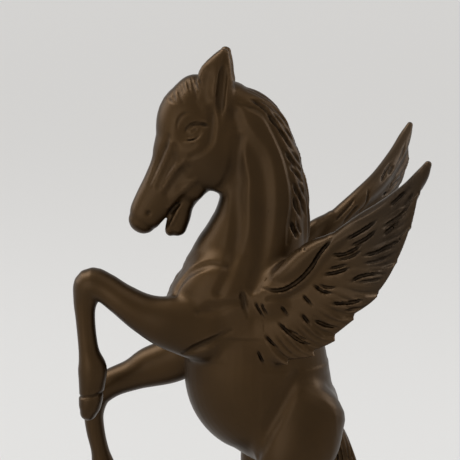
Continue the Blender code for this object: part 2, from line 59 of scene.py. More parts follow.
# %% [markdown]
# ## Digital clay
#
# Blender's sculpt brushes need a hand and a screen. A script can sculpt too if the clay is a
# signed distance field: a grid of numbers that say how far each point is from the skin, below zero
# inside. Two lumps are pressed together by taking the smaller distance, and a groove is cut by
# taking the larger of the clay and the tool turned inside out. Rounding that choice gives the soft
# fillets of worked clay. OpenVDB, which ships inside Blender, turns meshes into such distances and
# turns the finished field back into a mesh.
#
# All measures of the figure are in millimetres, with the height counted from the hoof soles.

# %% Rounded choices, smooth lines and readings between cells
GRAIN = 0.5  # the size of one cell
BAND = 6.0  # how far from the skin distances are kept


def rounded_least(a, b, blend):
    """The smaller of two distances, with the crossing rounded over the blend's width."""
    near = np.maximum(blend - np.abs(a - b), 0) / blend
    return np.minimum(a, b) - near * near * (blend / 4)


def curve(points, step=1.2, count=None):
    """A smooth line through given points, in steps of a length or in a count for each gap."""
    p = np.array(points, float)
    ends = np.vstack([2 * p[0] - p[1], p, 2 * p[-1] - p[-2]])
    pieces = []
    for a, b, c, d in zip(ends, ends[1:], ends[2:], ends[3:]):
        steps = count or max(2, int(np.linalg.norm((c - b)[:3]) / step))
        t = np.arange(steps)[:, None] / steps
        bend = (2 * a - 5 * b + 4 * c - d) * t ** 2 + (3 * b - 3 * c + d - a) * t ** 3
        pieces.append(0.5 * (2 * b + (c - a) * t + bend))
    return np.vstack(pieces + [p[-1:]])


def blended(field, spots):
    """A field at places counted in cells, blended from the eight cells round each."""
    spots = np.clip(spots, 0, np.array(field.shape) - 1.01)
    cells = spots.astype(int)
    parts = spots - cells
    total = np.zeros(spots.shape[:-1])
    for corner in np.ndindex(2, 2, 2):
        share = np.prod(np.where(corner, parts, 1 - parts), axis=-1)
        total += share * field[tuple(np.moveaxis(cells + np.array(corner), -1, 0))]
    return total


print("clay grain", GRAIN, "mm")


# %% The block of clay
RAY_START, RAY_END = 70, -2  # along Y, from beyond the wing tips to just past the middle
START_Y = 10.0  # where a path that is drawn from the side lies until it is laid
SETTLE_STEPS = 4
SMOOTH_STEPS = 3
LEAST_TOOL = 0.4  # the share of a tool's radius that is left at the ends of a stroke


class Clay:
    """Clay as distances to its skin, in millimetres, on a dense grid."""

    def __init__(self, low, high):
        self.low = np.array(low, float)
        counts = np.ceil((np.array(high) - self.low) / GRAIN).astype(int) + 1
        self.field = np.full(counts, BAND, np.float32)

    def window(self, points, reach):
        """The cells within reach of some points, as one slice for each axis."""
        first = np.floor((points.min(0) - reach - self.low) / GRAIN).astype(int)
        last = np.ceil((points.max(0) + reach - self.low) / GRAIN).astype(int) + 1
        first = np.clip(first, 0, np.array(self.field.shape) - 1)
        last = np.clip(last, first + 1, self.field.shape)
        return tuple(slice(int(a), int(b)) for a, b in zip(first, last))

    def axes(self, window):
        """The places of a window's cells along x, y and z, shaped so that they combine."""
        lines = [self.low[k] + GRAIN * np.arange(s.start, s.stop) for k, s in enumerate(window)]
        return [line.astype(np.float32) for line in np.ix_(*lines)]

    def distance(self, form, reach):
        """Distances to a closed form on the cells within reach of it."""
        points, faces = form
        window = self.window(points, reach)
        cells = np.ascontiguousarray((points - self.low) / GRAIN, np.float32)
        grid = openvdb.FloatGrid.createLevelSetFromPolygons(
            cells, triangles=np.ascontiguousarray(faces, np.uint32),
            transform=openvdb.createLinearTransform(voxelSize=1.0), halfWidth=reach / GRAIN)
        found = np.empty([s.stop - s.start for s in window], np.float32)
        grid.copyToArray(found, ijk=tuple(s.start for s in window))
        return found * GRAIN, window

    def add(self, form, blend=2.0, reach=BAND):
        """Press a lump onto the clay."""
        found, window = self.distance(form, reach)
        self.field[window] = rounded_least(self.field[window], found, blend)

    def cut(self, form, blend=1.0):
        """Take a form's shape out of the clay."""
        found, window = self.distance(form, blend + 2)
        self.field[window] = -rounded_least(-self.field[window], found, blend)

    def soften(self, times):
        """Stroke the whole surface smooth by averaging each cell with its neighbours."""
        for _ in range(times):
            for axis in range(3):
                f = np.moveaxis(self.field, axis, 0)
                middle = 0.5 * f[1:-1] + 0.25 * (f[:-2] + f[2:])
                f[1:-1] = middle

    def read(self, points):
        """The distance at any points."""
        return blended(self.field, (points - self.low) / GRAIN)

    def normal(self, points):
        """The way out of the clay at some points."""
        steps = np.eye(3) * GRAIN
        rise = np.stack([self.read(points + s) - self.read(points - s) for s in steps], -1)
        return rise / np.maximum(np.linalg.norm(rise, axis=-1, keepdims=True), 1e-6)

    def lay(self, path, side, inner=False):
        """Bring a path onto the skin: along Y from one side, or to the nearest skin if side is 0.

        With inner, it lies where the ray comes out of the first clay that it goes through.
        """
        path = path.copy()
        if side:
            depths = side * np.arange(RAY_START, RAY_END, -GRAIN)
            ray = np.repeat(path[:, None], len(depths), axis=1)
            ray[:, :, 1] = depths
            solid = self.read(ray) < 0
            if inner:
                solid = ~solid & np.logical_or.accumulate(solid, axis=1)
            met = solid.any(axis=1)
            path[met, 1] = depths[solid.argmax(axis=1)][met]
            if inner:
                path = path[met]
        for _ in range(SETTLE_STEPS):
            path = path - self.normal(path) * self.read(path)[:, None]
        return path

    def stroke(self, points, radius, height, side, blend, ends, inner=False):
        """Raise a ridge along a path on the skin, or press a groove where height is below zero.

        The tool comes in and goes out over a share of the path at each of its ends.
        """
        path = curve(points)
        if path.shape[1] == 2:
            path = np.insert(path, 1, START_Y * side, axis=1)
        path = self.lay(path, side, inner)
        if len(path) < 3:
            return
        for _ in range(SMOOTH_STEPS):
            path[1:-1] = (path[:-2] + 2 * path[1:-1] + path[2:]) / 4
        sign = -1 if height < 0 else 1
        t = np.linspace(0, 1, len(path))
        swell = np.clip(np.minimum(t / ends[0], (1 - t) / ends[1]), 0, 1)
        swell = swell * swell * (3 - 2 * swell)
        radii = radius * (LEAST_TOOL + (1 - LEAST_TOOL) * swell)
        middle = path + self.normal(path) * (swell * height - sign * radii)[:, None]
        window = self.window(middle, radius + blend + 2 * GRAIN)
        tool = np.full([s.stop - s.start for s in window], BAND, np.float32)
        for a, b, ra, rb in zip(middle, middle[1:], radii, radii[1:]):
            near = self.window(np.array([a, b]), radius + blend + GRAIN)
            way = b - a
            length = max(float(way @ way), 1e-9)
            lines = [line - start for line, start in zip(self.axes(near), a)]
            share = np.clip(sum(line * step for line, step in zip(lines, way)) / length, 0, 1)
            gap = sum((line - share * step) ** 2 for line, step in zip(lines, way))
            place = tuple(slice(n.start - w.start, n.stop - w.start) for n, w in zip(near, window))
            tool[place] = np.minimum(tool[place], np.sqrt(gap) - ra - share * (rb - ra))
        self.field[window] = sign * rounded_least(sign * self.field[window], tool, blend)


print("clay tools ready")

# %% [markdown]
# ## Lumps of clay: lofts and muscles
#
# A sculptor starts from rolls and balls. A roll is a loft: elliptical rings along a line, each
# station giving its centre and its two half widths, so that a neck or a leg swells and tapers. A
# ball is stretched into a muscle. Both come out as a stack of rings that one function closes.

# %% Rings into closed forms
CAP = (0.2, 0.5, 0.8, 0.96)  # how far out the rings of a roll's rounded end lie
LEAST_HALF = 0.2
ROLL_POINTS = 48
MUSCLE_RINGS, MUSCLE_POINTS, POLE_GAP = 24, 40, 0.06


def skin(rings):
    """Close a stack of rings into triangles, with a point at each end."""
    count, around = rings.shape[:2]
    ring = np.arange(count * around).reshape(count, around)
    nxt = np.roll(ring, -1, axis=1)
    sides = np.stack([ring[:-1], nxt[:-1], nxt[1:], ring[:-1], nxt[1:], ring[1:]], -1).reshape(-1, 3)
    first, last = count * around, count * around + 1
    start = np.stack([np.full(around, first), nxt[0], ring[0]], -1)
    end = np.stack([np.full(around, last), ring[-1], nxt[-1]], -1)
    points = np.vstack([rings.reshape(-1, 3), rings[0].mean(0)[None], rings[-1].mean(0)[None]])
    return points, np.vstack([sides, start, end])


def loft(stations, square=2.0):
    """A roll through stations of x, y, z, half depth and half width, the width lying along Y."""
    path = curve(stations, step=1.5)
    centre = path[:, :3]
    depth, width = np.maximum(path[:, 3:5], LEAST_HALF).T
    ahead = np.gradient(centre, axis=0)
    ahead /= np.linalg.norm(ahead, axis=1, keepdims=True)
    aside = np.array((0, 1, 0)) - ahead[:, 1:2] * ahead
    aside /= np.linalg.norm(aside, axis=1, keepdims=True)
    deep = np.cross(aside, ahead)
    turn = np.linspace(0, 2 * np.pi, ROLL_POINTS, endpoint=False)
    u = np.sign(np.cos(turn)) * np.abs(np.cos(turn)) ** (2 / square)
    v = np.sign(np.sin(turn)) * np.abs(np.sin(turn)) ** (2 / square)
    rows = [(0, -f) for f in CAP[::-1]]
    rows += [(k, 0) for k in range(len(path))]
    rows += [(len(path) - 1, f) for f in CAP]
    rings = []
    for k, push in rows:
        shrink = math.sqrt(1 - push * push)
        spot = centre[k] + ahead[k] * push * min(depth[k], width[k])
        ring = np.outer(u, deep[k]) * depth[k] + np.outer(v, aside[k]) * width[k]
        rings.append(spot + ring * shrink)
    return skin(np.array(rings))


def muscle(centre, half_sizes, turn=0.0):
    """A ball stretched to three half sizes and turned about Y, in degrees."""
    polar = np.linspace(POLE_GAP, np.pi - POLE_GAP, MUSCLE_RINGS)
    round_ = np.linspace(0, 2 * np.pi, MUSCLE_POINTS, endpoint=False)
    rings = np.stack([
        np.outer(np.sin(polar), np.cos(round_)),
        np.outer(np.sin(polar), np.sin(round_)),
        np.outer(np.cos(polar), np.ones(MUSCLE_POINTS))], -1)
    spin = np.array(Matrix.Rotation(math.radians(turn), 3, "Y"))
    return skin((rings * np.array(half_sizes)) @ spin.T + np.array(centre))


def one_side(stations, side):
    """Stations drawn for the right side, mirrored where side is -1."""
    return [(x, y * side, *rest) for x, y, *rest in stations]


print("a roll has", len(loft([(0, 0, 0, 5, 5), (0, 0, 20, 4, 4)])[1]), "triangles")

# %% [markdown]
# ## The body
#
# The trunk stands almost upright, because the horse rears. Wide blends let the neck grow out of the
# chest and the thighs out of the rump, as they do under a real hide.

# %% Trunk, neck and the large muscles
horse = Clay((-99, -68, -4), (82, 68, 298))

TRUNK = [
    (-12, 0, 198, 19, 12), (-11, 0, 181, 32, 20.5), (-7, 0, 157, 32.5, 23),
    (-6.5, 0, 135, 32, 23), (3, 0, 119, 24.5, 22), (12, 0, 107, 16.5, 17), (19, 0, 101, 9, 11),
]
NECK = [
    (-11, 0, 188, 27.5, 18), (-5, 0, 212, 20.8, 14.5), (-3.4, 0, 230, 17.9, 12.3),
    (-5, 0, 247, 15, 11), (-10.5, 0, 260, 12.5, 9.5), (-18, 0, 268, 8.5, 8),
]
# A muscle is its centre, its three half sizes, its turn, and the blend that presses it on.
MIDDLE_MUSCLES = [((17.5, 0, 122), (14.5, 17, 19), 0, 9.0), ((13, 0, 140), (12.5, 15, 17), 0, 9.0)]
SIDE_MUSCLES = [
    ((-22, 12.5, 178), (19, 10.5, 22), 20, 5.0), ((-33, 13, 163), (12, 9, 12), 0, 5.0),
    ((-35.5, 7, 172), (12, 9, 15), 0, 8.0), ((15, 14, 121), (16, 10.5, 22), -12, 5.0),
]


def press(muscles, sides=(-1, 1)):
    """Press muscles drawn for the right side onto one side after the other."""
    for side in sides:
        for (x, y, z), half_sizes, turn, blend in muscles:
            horse.add(muscle((x, y * side, z), half_sizes, turn), blend)


horse.add(loft(TRUNK))
horse.add(loft(NECK, square=2.4), 10.0)
press(MIDDLE_MUSCLES, sides=(1,))
press(SIDE_MUSCLES)
print("trunk, neck and", len(MIDDLE_MUSCLES) + 2 * len(SIDE_MUSCLES), "muscles pressed on")

# %% [markdown]
# ## The legs
#
# Each leg is one roll from shoulder or hip to pastern, with a hoof pressed on. The raised forelegs
# fold at the knee. The hind legs carry the whole figure, so the hock, its tendon and the fetlock
# are worked out although the photograph stops above them.

# %% Four legs and their hooves
LEGS = {
    "left_fore": [
        (-28, -16, 165, 14, 9), (-45, -17, 168.3, 12.3, 9), (-56.7, -17, 172.6, 9.3, 8),
        (-66.8, -17, 179, 7.4, 7.2), (-74.5, -16.2, 184, 7, 6.6), (-80.8, -15.6, 185, 8, 6.8),
        (-83.6, -15.3, 177.5, 5.6, 5.4), (-83.8, -15.2, 169.2, 4.5, 4.5), (-82.6, -15, 154.6, 4.7, 4.5),
        (-81, -15, 146, 6.7, 5.5), (-81.3, -15, 139, 6.2, 5.4), (-81.9, -15, 132.9, 5.4, 5)],
    "right_fore": [
        (-30, 16, 154, 13, 9), (-45, 16.5, 142.5, 11.3, 8.8), (-58, 16, 137.6, 9.8, 8),
        (-66.5, 15.6, 133.8, 7.7, 7), (-76, 15, 130, 7, 6.6), (-83.2, 14.6, 125, 7.2, 6.5),
        (-85.2, 14.2, 115.5, 5, 4.9), (-84.5, 14, 106, 4.5, 4.2), (-82.4, 14, 95.7, 4.4, 4.3),
        (-80.8, 14, 86.5, 6, 5.2), (-81.2, 14, 79.5, 5, 4.8)],
    "left_hind": [
        (20, -12, 126, 16, 11), (14.5, -16, 113, 18, 12), (10, -18, 98, 15, 11),
        (13, -17.5, 80, 10.5, 8.5), (22, -17, 64, 7.4, 6.6), (28, -16.5, 54, 7, 6),
        (28, -16, 45, 5.6, 5.2), (25, -16, 32, 4.7, 4.6), (21.5, -16, 20, 5, 5),
        (19.5, -16, 14.5, 6, 5.6), (16, -16, 10, 5, 5)],
    "right_hind": [
        (18, 12, 124, 16, 11), (8, 16, 111, 17.5, 12), (0, 18, 94, 14.5, 11),
        (-1, 17.5, 77, 10.5, 8.5), (6, 17, 62.5, 7.4, 6.6), (12, 16.5, 53, 7, 6),
        (12, 16, 44.5, 5.6, 5.2), (8.5, 16, 31.5, 4.7, 4.6), (4.5, 16, 19.5, 5, 5),
        (2.5, 16, 14.5, 6, 5.6), (-1, 16, 10, 5, 5)],
}
HOOVES = {
    "left_fore": [(-82, -15, 131, 5.5, 5.6), (-82.6, -15, 127, 5, 5.6), (-83.2, -15, 124.6, 3.9, 5)],
    "right_fore": [(-81.4, 14, 79.5, 5.6, 5.4), (-82.6, 14, 73, 6, 5.8), (-83.6, 14, 67, 5.6, 5.6)],
    "left_hind": [(13.5, -16, 9.5, 6.3, 6), (11, -16, 5, 7.6, 6.8), (9.5, -16, -0.5, 8.6, 7.4)],
    "right_hind": [(-3.5, 16, 9.5, 6.3, 6), (-6, 16, 5, 7.6, 6.8), (-7.5, 16, -0.5, 8.6, 7.4)],
}
HOCKS = ((28, -16.5, 54), (12, 16.5, 53))
for name, stations in LEGS.items():
    horse.add(loft(stations), 5.0 if "hind" in name else 3.5)
for stations in HOOVES.values():
    horse.add(loft(stations, square=2.3), 1.2)
for x, y, z in HOCKS:
    tendon = [(x + 5, y, z + 6, 2.2, 2), (x - 2.5, y, z + 20, 2.2, 2), (x - 12, y, z + 34, 4, 3)]
    horse.add(muscle((x + 5, y, z + 5), (3.6, 3.2, 4.6), -25), 2.5)
    horse.add(loft(tendon), 3.0)
print(len(LEGS), "legs with hooves, and", len(HOCKS), "hocks")

# %% [markdown]
# ## The head
#
# The skull is one roll from the poll to the muzzle, squarer than an ellipse because a horse's face
# has flat sides. The lower jaw is a second roll that hangs open, so the mouth is a real gap.

# %% Skull, jaw, cheeks and ears
HEAD = [
    (-25, 0, 272, 7, 8), (-34.5, 0, 262.5, 15.5, 11.5), (-36, 0, 249.6, 16.4, 12),
    (-40.3, 0, 238, 15.2, 10), (-47.2, 0, 228.6, 11.6, 8), (-53.9, 0, 219.6, 9.4, 6.9),
    (-57.5, 0, 214.4, 8, 6.6), (-58.9, 0, 212.2, 6.6, 5.8),
]
JAW = [
    (-30, 0, 234, 6.5, 8), (-35.3, 0, 226.6, 5, 6.8), (-39.2, 0, 220.6, 4.4, 5.8),
    (-41.3, 0, 214.6, 4.8, 5), (-43.3, 0, 209.8, 5, 4.4),
]
OPEN_MOUTH = [(-51.6, 0, 203.5, 3.0, 12), (-49.9, 0, 209.2, 1.7, 12), (-47.6, 0, 214, 0.3, 12)]
EAR = [
    (-23, 6.4, 257, 6, 3.6), (-24.5, 7, 266, 8, 4.2), (-24.8, 7.5, 274, 8.3, 4.3),
    (-24.2, 7.4, 280, 7.9, 3.8), (-22.6, 7.1, 284.5, 5.9, 3.2), (-21.3, 6.8, 288, 3.9, 2.5),
    (-20.6, 6.6, 290, 2.4, 1.9),
]
POLL_AND_THROAT = [((-34, 0, 270.8), (9, 8.2, 9), 0, 3.0), ((-23.5, 0, 238), (9, 8, 11), 0, 3.0)]
CHEEKS = [
    ((-27, 6.5, 246), (12, 5.4, 15), 8, 5.0), ((-12, 5.5, 246), (8, 4.4, 15), 5, 5.0),
    ((-24.5, 5.5, 239), (10, 5.5, 11.5), 0, 3.0), ((-20.2, 3, 230), (3.4, 4, 3.6), 0, 4.0),
]
JAW_CORNER = ((-36.5, 4.8, 228.5), (6, 3.6, 4), 40, 3.0)
CHIN = ((-46.4, 0, 208.4), (2.2, 3.6, 3.2), -15, 1.2)
horse.add(loft(HEAD, square=2.25), 3.0)
press(POLL_AND_THROAT, sides=(1,))
press(CHEEKS)
horse.soften(2)
horse.add(loft(JAW, square=2.3), 2.6)
press([JAW_CORNER])
press([CHIN], sides=(1,))
horse.cut(loft(OPEN_MOUTH), 0.6)
for side in (-1, 1):
    horse.add(loft(one_side(EAR, side)), 2.0)
print("head, jaw and two ears")

# %% [markdown]
# ## Mane and tail
#
# Cast hair is a solid roll with locks cut into it. The mane follows the crest of the neck, and the
# tail hangs from the rump to the ground, where it helps to carry the figure.

# %% The rolls of hair
MANE = [
    (-15, 0, 270, 4, 3.5), (-7.5, 0, 267.5, 5, 4), (-1, 0, 262, 5.4, 4.4), (4.2, 0, 254.5, 5.6, 4.6),
    (8.2, 0, 244, 5.6, 4.8), (10.8, 0, 233, 5.6, 5), (12.6, 0, 221, 5.8, 5.2), (13, 0, 208, 5.6, 5.2),
    (10.5, 0, 198, 5, 5), (7, 0, 191, 4, 4),
]
TAIL = [
    (24, 0, 119, 5, 6), (30, 1, 111.5, 5.5, 6), (34.5, 2, 99.5, 6, 6.5), (38, 3, 84, 7.3, 7.5),
    (41.5, 3.5, 66, 8.6, 8.5), (44, 3.5, 47, 8.6, 8), (45, 3.2, 29, 7.6, 7.2),
    (46.5, 2.6, 13, 6, 6), (49, 2, 2, 4, 4.6),
]
horse.add(loft(MANE), 1.0)
horse.add(loft(TAIL), 2.5)
print("mane and tail")

# %% [markdown]
# ## The wings
#
# A cast wing is thick: an arm along the leading edge, a rounded lobe at the shoulder, and a sheet
# that fans out from them. The sheet is drawn by the spines of its feathers. Between two spines it is
# filled by a smooth curve, each feather is tilted a little so that its edge stands over the next
# one, and the trailing edge is notched where one feather ends and the next begins.

# %% Arm, lobe and the fan of feathers
WING_ARM = [
    (-9, 14, 177, 5, 5), (1, 19, 184.2, 4, 4.8), (10, 21.5, 187.6, 3.8, 4.8), (17.5, 23.5, 193, 3.8, 4.8),
    (24, 25.5, 201, 3.8, 4.6), (31, 28, 209.3, 4.2, 4.4), (41, 32, 217.8, 4.4, 3.8),
    (51, 41, 226.2, 4.3, 3.2), (59.5, 54, 236, 3.8, 2.6), (64.2, 62.5, 243.8, 3, 2),
    (66.8, 66, 249.6, 1.5, 1.3),
]
WING_LOBE = [
    (-8, 9, 182, 3.4, 4), (1, 15.8, 187.6, 3.8, 5), (7, 19.8, 191.8, 4.6, 5.6), (12, 22, 196.3, 5.2, 5.8),
    (17, 23.5, 201.6, 4.8, 5.4), (22, 25.2, 206.5, 3.4, 4.6), (27.5, 27.5, 210.8, 1.4, 2.8),
]
SPINES = [
    ((38, 31, 215.5), (51, 41.5, 225), (59.5, 54.5, 235), (65.4, 64, 246)),
    ((33, 28.8, 210.6), (51, 42, 219.5), (59.5, 56, 228.5), (63.8, 62, 236.3)),
    ((28, 27, 205.6), (46, 36, 208), (55.5, 49, 213.5), (60.8, 57, 220.7)),
    ((22, 25, 198.2), (39, 31, 197.5), (49, 39, 199), (55.6, 47.5, 203)),
    ((16, 23.3, 191.2), (31.5, 28, 187.5), (41, 32.3, 185.5), (48.6, 38, 187)),
    ((9, 21.8, 186.4), (23.5, 26.2, 179.5), (32, 28.2, 175.6), (38.8, 30.3, 174.8)),
    ((3, 20, 184), (15.5, 24.8, 173.5), (23.5, 26.4, 167), (30.6, 27.6, 164.2)),
    ((-2.5, 18, 181.5), (7.5, 23.6, 169), (14.5, 25, 161.4), (21.2, 26, 156.5)),
    ((-7, 16, 178.5), (-1.5, 21.5, 165), (3.5, 23, 157), (9.4, 23.6, 151.6)),
    ((-11, 12.5, 175.5), (-9, 18, 163), (-6.5, 19, 155), (-3, 19.5, 150)),
]
FAR_FIRST_FEATHER = ((33, 28.8, 210.6), (52, 42, 218.5), (62, 56, 226), (66.4, 62, 233.4))
SPINE_STEPS = 60
FAN_STEPS = 10  # lines from one spine to the next
CHORD = 26  # points from the arm to the trailing edge
SHEET_HALF_THICKNESS = 2.9
NOTCH_DEPTH = 2.4
NOTCH_RISE, NOTCH_FALL = 0.85, 0.15  # shares of a feather's width
FEATHER_STEP = 1.8
WING_ROOT = ((3, 19.5, 179.5), (11, 6.2, 9), 0, 3.0)
SHEET_REACH = 4.0


def fan(side):
    """The two faces of a wing: lines from the arm to the trailing edge, fanned between the spines."""
    spines = list(SPINES)
    if side > 0:
        spines[1] = FAR_FIRST_FEATHER
    share = 1 - (1 - np.linspace(0, 1, CHORD)) ** 1.5
    lines = []
    for spine in spines:
        line = curve(one_side(spine, side), count=SPINE_STEPS)
        places = np.linspace(0, 1, len(line))
        lines.append(np.stack([np.interp(share, places, axis) for axis in line.T], -1).ravel())
    middle = curve(lines, count=FAN_STEPS).reshape(-1, CHORD, 3)
    across = np.arange(len(middle)) / FAN_STEPS % 1
    notch = NOTCH_DEPTH * np.minimum(across / NOTCH_RISE, (1 - across) / NOTCH_FALL)
    along = middle[:, -1] - middle[:, -6]
    along /= np.linalg.norm(along, axis=1, keepdims=True)
    middle = middle - along[:, None] * (notch[:, None] * share ** 3)[..., None]
    out = np.cross(np.gradient(middle, axis=0), np.gradient(middle, axis=1))
    out *= np.sign(out[..., 1:2]) * side / np.linalg.norm(out, axis=-1, keepdims=True)
    half = SHEET_HALF_THICKNESS * (1 - 0.55 * share) * np.sqrt(1 - 0.97 * share ** 6)
    tilt = FEATHER_STEP * (0.5 - across)[:, None] * share ** 2
    return middle + out * (tilt + half)[..., None], middle + out * (tilt - half)[..., None]


for side in (-1, 1):
    front, back = fan(side)
    horse.add(loft(one_side(WING_LOBE, side)), 5.0)
    press([WING_ROOT], sides=(side,))
    horse.add(skin(np.concatenate([front, back[:, ::-1]], axis=1)), 2.0, SHEET_REACH)
    horse.add(loft(one_side(WING_ARM, side)), 2.5, SHEET_REACH)
print(len(SPINES) - 1, "feathers on each wing")

# %% [markdown]
# ## Details cut into the clay
#
# The sculptor now works with loops and knives. Every line is a stroke: a few points as they are
# seen from the side, laid onto the skin, then a round tool is drawn along them. A ridge is a roll
# left standing, a groove is a cut. Most strokes are made on both sides of the horse. In the tables
# a stroke is its points, the tool's radius, the height of the ridge and the width of its blend. A
# height below zero makes a groove.

# %% The face
EYE = (-33.9, 255.5)
FACE_STROKES = [
    ([(-38, 253), (-29.5, 257)], 8.0, -0.8, 4.0),
    ([(-41.6, 256.7), (-41.4, 259.5), (-40.1, 261.9), (-38.2, 263.6), (-34.4, 264.1)], 0.7, -0.35, 0.6),
    ([(-25.6, 269.4), (-25.9, 261.8), (-26.5, 252.5), (-28.2, 249.2), (-31.2, 246), (-35, 244.2)],
     2.2, -1.2, 1.8),
    ([(-45.8, 252.9), (-47, 247.5), (-49, 242.5), (-51.1, 237.3), (-54.2, 230)], 1.8, -1.1, 1.8),
    ([(-42.4, 248.2), (-44.5, 241.6), (-47, 236.1), (-50.2, 229.6)], 2.6, -1.0, 2.2),
    ([(-36.9, 238.9), (-40.7, 235.5), (-44.3, 230.8), (-46.9, 226.6)], 2.4, -0.8, 2.2),
    ([(-44.2, 250.4), (-45.9, 246.2), (-48.1, 241), (-50.4, 236.2), (-53.4, 229.9)], 1.1, 0.25, 1.2),
    ([(-38.5, 242), (-41.8, 238.6), (-44.3, 235.3), (-47.7, 229.4)], 1.1, 0.25, 1.2),
    ([(-33.2, 233.4), (-37.4, 230), (-41.6, 226), (-46.4, 220)], 1.7, 0.9, 1.6),
    ([(-46.9, 215.3), (-44.6, 218.2), (-42, 221), (-40, 222.4)], 1.1, -1.4, 0.8),
    ([(-46.2, 209.4), (-44.4, 212.8), (-42.4, 216.9), (-40.3, 220.5)], 0.8, 0.7, 0.6),
    ([(-15.2, 256), (-15.4, 243.5), (-17.4, 236.4), (-22, 229.7)], 2.6, -0.7, 2.4),
    ([(-55.7, 217.5), (-55, 216.4)], 1.3, -0.8, 0.8),
]
LID_STROKES = [
    ([(-37.8, 254.7), (-36.5, 257.1), (-34.1, 258.8), (-30.5, 258.6), (-27.3, 257.7)], 1.0, -0.8, 0.6),
    ([(-37.6, 254.4), (-36.2, 256.3), (-34.8, 258.1)], 0.6, 0.35, 0.4),
    ([(-37.6, 251.8), (-34.9, 251.5), (-31.9, 253.1)], 0.6, 0.4, 0.4),
    ([(-38.2, 251.2), (-34.9, 250.9), (-31.8, 252.3), (-30.2, 254.4)], 0.5, -0.5, 0.3),
    ([(-38.7, 250.5), (-34.9, 250.1), (-31.6, 251.6), (-29.5, 255.3)], 0.7, 0.45, 0.5),
]
PUPIL = ([(-35.2, 255.1), (-33.9, 255.8), (-32.6, 256.4)], 1.1, -0.55, 0.4)
EYEBALL, EYE_TURN, EYE_SINK = (3.5, 2.5, 2.3), -33, 1.9


def draw(strokes, side=0, ends=(0.3, 0.3)):
    """Draw strokes on one side, or on the nearest skin if side is 0."""
    for points, radius, height, blend in strokes:
        horse.stroke(points, radius, height, side, blend, ends)


for side in (-1, 1):
    draw(FACE_STROKES, side, (0.25, 0.35))
    spot = horse.lay(np.array([[EYE[0], START_Y * side, EYE[1]]]), side)[0]
    horse.add(muscle(spot - (0, EYE_SINK * side, 0), EYEBALL, EYE_TURN), 0.5)
    draw([PUPIL], side)
    draw(LID_STROKES, side, (0.15, 0.15))
print(len(FACE_STROKES) + len(LID_STROKES) + 1, "strokes and an eyeball on each side of the face")

# %% Ears and forelock
EAR_STROKES = [
    ([(-20.2, 288.5), (-20.6, 282), (-21.4, 275), (-22.2, 267), (-22, 259)], 2.6, -2.0, 0.8),
    ([(-26.6, 283), (-28.6, 275), (-27.6, 266)], 5.0, -0.9, 1.2),
]
FORELOCK = [
    [(-32.5, 279.3), (-31.6, 277.4), (-30.4, 274.8)],
    [(-35.5, 278.4), (-34.3, 274.4), (-32.6, 269.9)],
    [(-37.5, 277.8), (-36.6, 275.2), (-35.2, 271.8)],
    [(-39.6, 276.8), (-38.7, 274.4), (-37.2, 271)],
    [(-41.8, 274.8), (-40.5, 271.4), (-38.7, 267.2)],
    [(-43.9, 272.4), (-43.1, 270.2), (-41.7, 267.4)],
    [(-46, 269.6), (-44.6, 268.6), (-42.8, 267.3)],
    [(-33.9, 278.9), (-33, 276.2), (-31.6, 272.4)],
    [(-40.8, 275.9), (-39.8, 273.2), (-38.2, 269.6)],
]
for side in (-1, 1):
    draw(EAR_STROKES, side)
    draw([(lock, 0.7, -0.45, 0.6) for lock in FORELOCK], side, (0.45, 0.55))
print(len(FORELOCK), "locks on each side of the forelock")

# %% Mane and tail strands
MANE_EDGE = [
    (-14, 267.5), (-3.8, 263.9), (1.5, 255.8), (6.7, 244.6), (9.8, 232.5), (10.6, 222.7), (9.2, 212),
    (8.4, 205)]
MANE_SLITS = [
    [(-9.5, 269.5), (-4, 267), (1.0, 261.5)],
    [(-2.3, 264.0), (1.4, 260.3), (5.0, 255)],
    [(2.2, 257.7), (5.9, 253.6), (11.2, 244.6)],
    [(6.0, 247.5), (10.0, 242), (13.6, 234.8)],
    [(8.2, 240.8), (11.3, 237.1), (15.8, 229.8)],
    [(10, 233), (12.6, 227.5), (16.2, 219)],
    [(11.0, 227.2), (11.9, 221.9), (14.5, 214.5)],
    [(9.6, 215.8), (10.9, 211), (14.2, 204.5)],
]
CREST_LINES = (-2.6, -0.9, 0.9, 2.6)
STRANDS = 14
for side in (-1, 1):
    draw([(MANE_EDGE, 1.6, -0.9, 1.0)], side, (0.1, 0.1))
    for slit in MANE_SLITS:
        beside = np.array(slit) + (2.2, 0.4)
        draw([(slit, 1.1, -1.6, 0.5), (beside, 0.7, -0.8, 0.5)], side, (0.35, 0.45))
crest = curve([(x + d, y, z) for x, y, z, d, _ in MANE])
for offset in CREST_LINES:
    wave = np.sin(np.linspace(0, 11, len(crest)) + offset) * 0.8
    draw([(crest + np.stack([0 * wave, offset + wave, 0 * wave], -1), 0.8, -0.9, 0.8)])
tail_line = curve(TAIL)
for strand in range(STRANDS):
    turn = 2 * np.pi * strand / STRANDS + np.linspace(0, 1.5, len(tail_line))
    turn = turn + 0.25 * np.sin(np.linspace(0, 9 + strand, len(tail_line)))
    ring = np.stack([tail_line[:, 3] * np.cos(turn), tail_line[:, 4] * np.sin(turn), 0 * turn], -1)
    draw([((tail_line[:, :3] + ring)[8::6], 1.0, -1.3, 0.6)], ends=(0.1, 0.05))
print(2 * len(MANE_SLITS), "slits each side of the mane,", STRANDS, "strands in the tail")

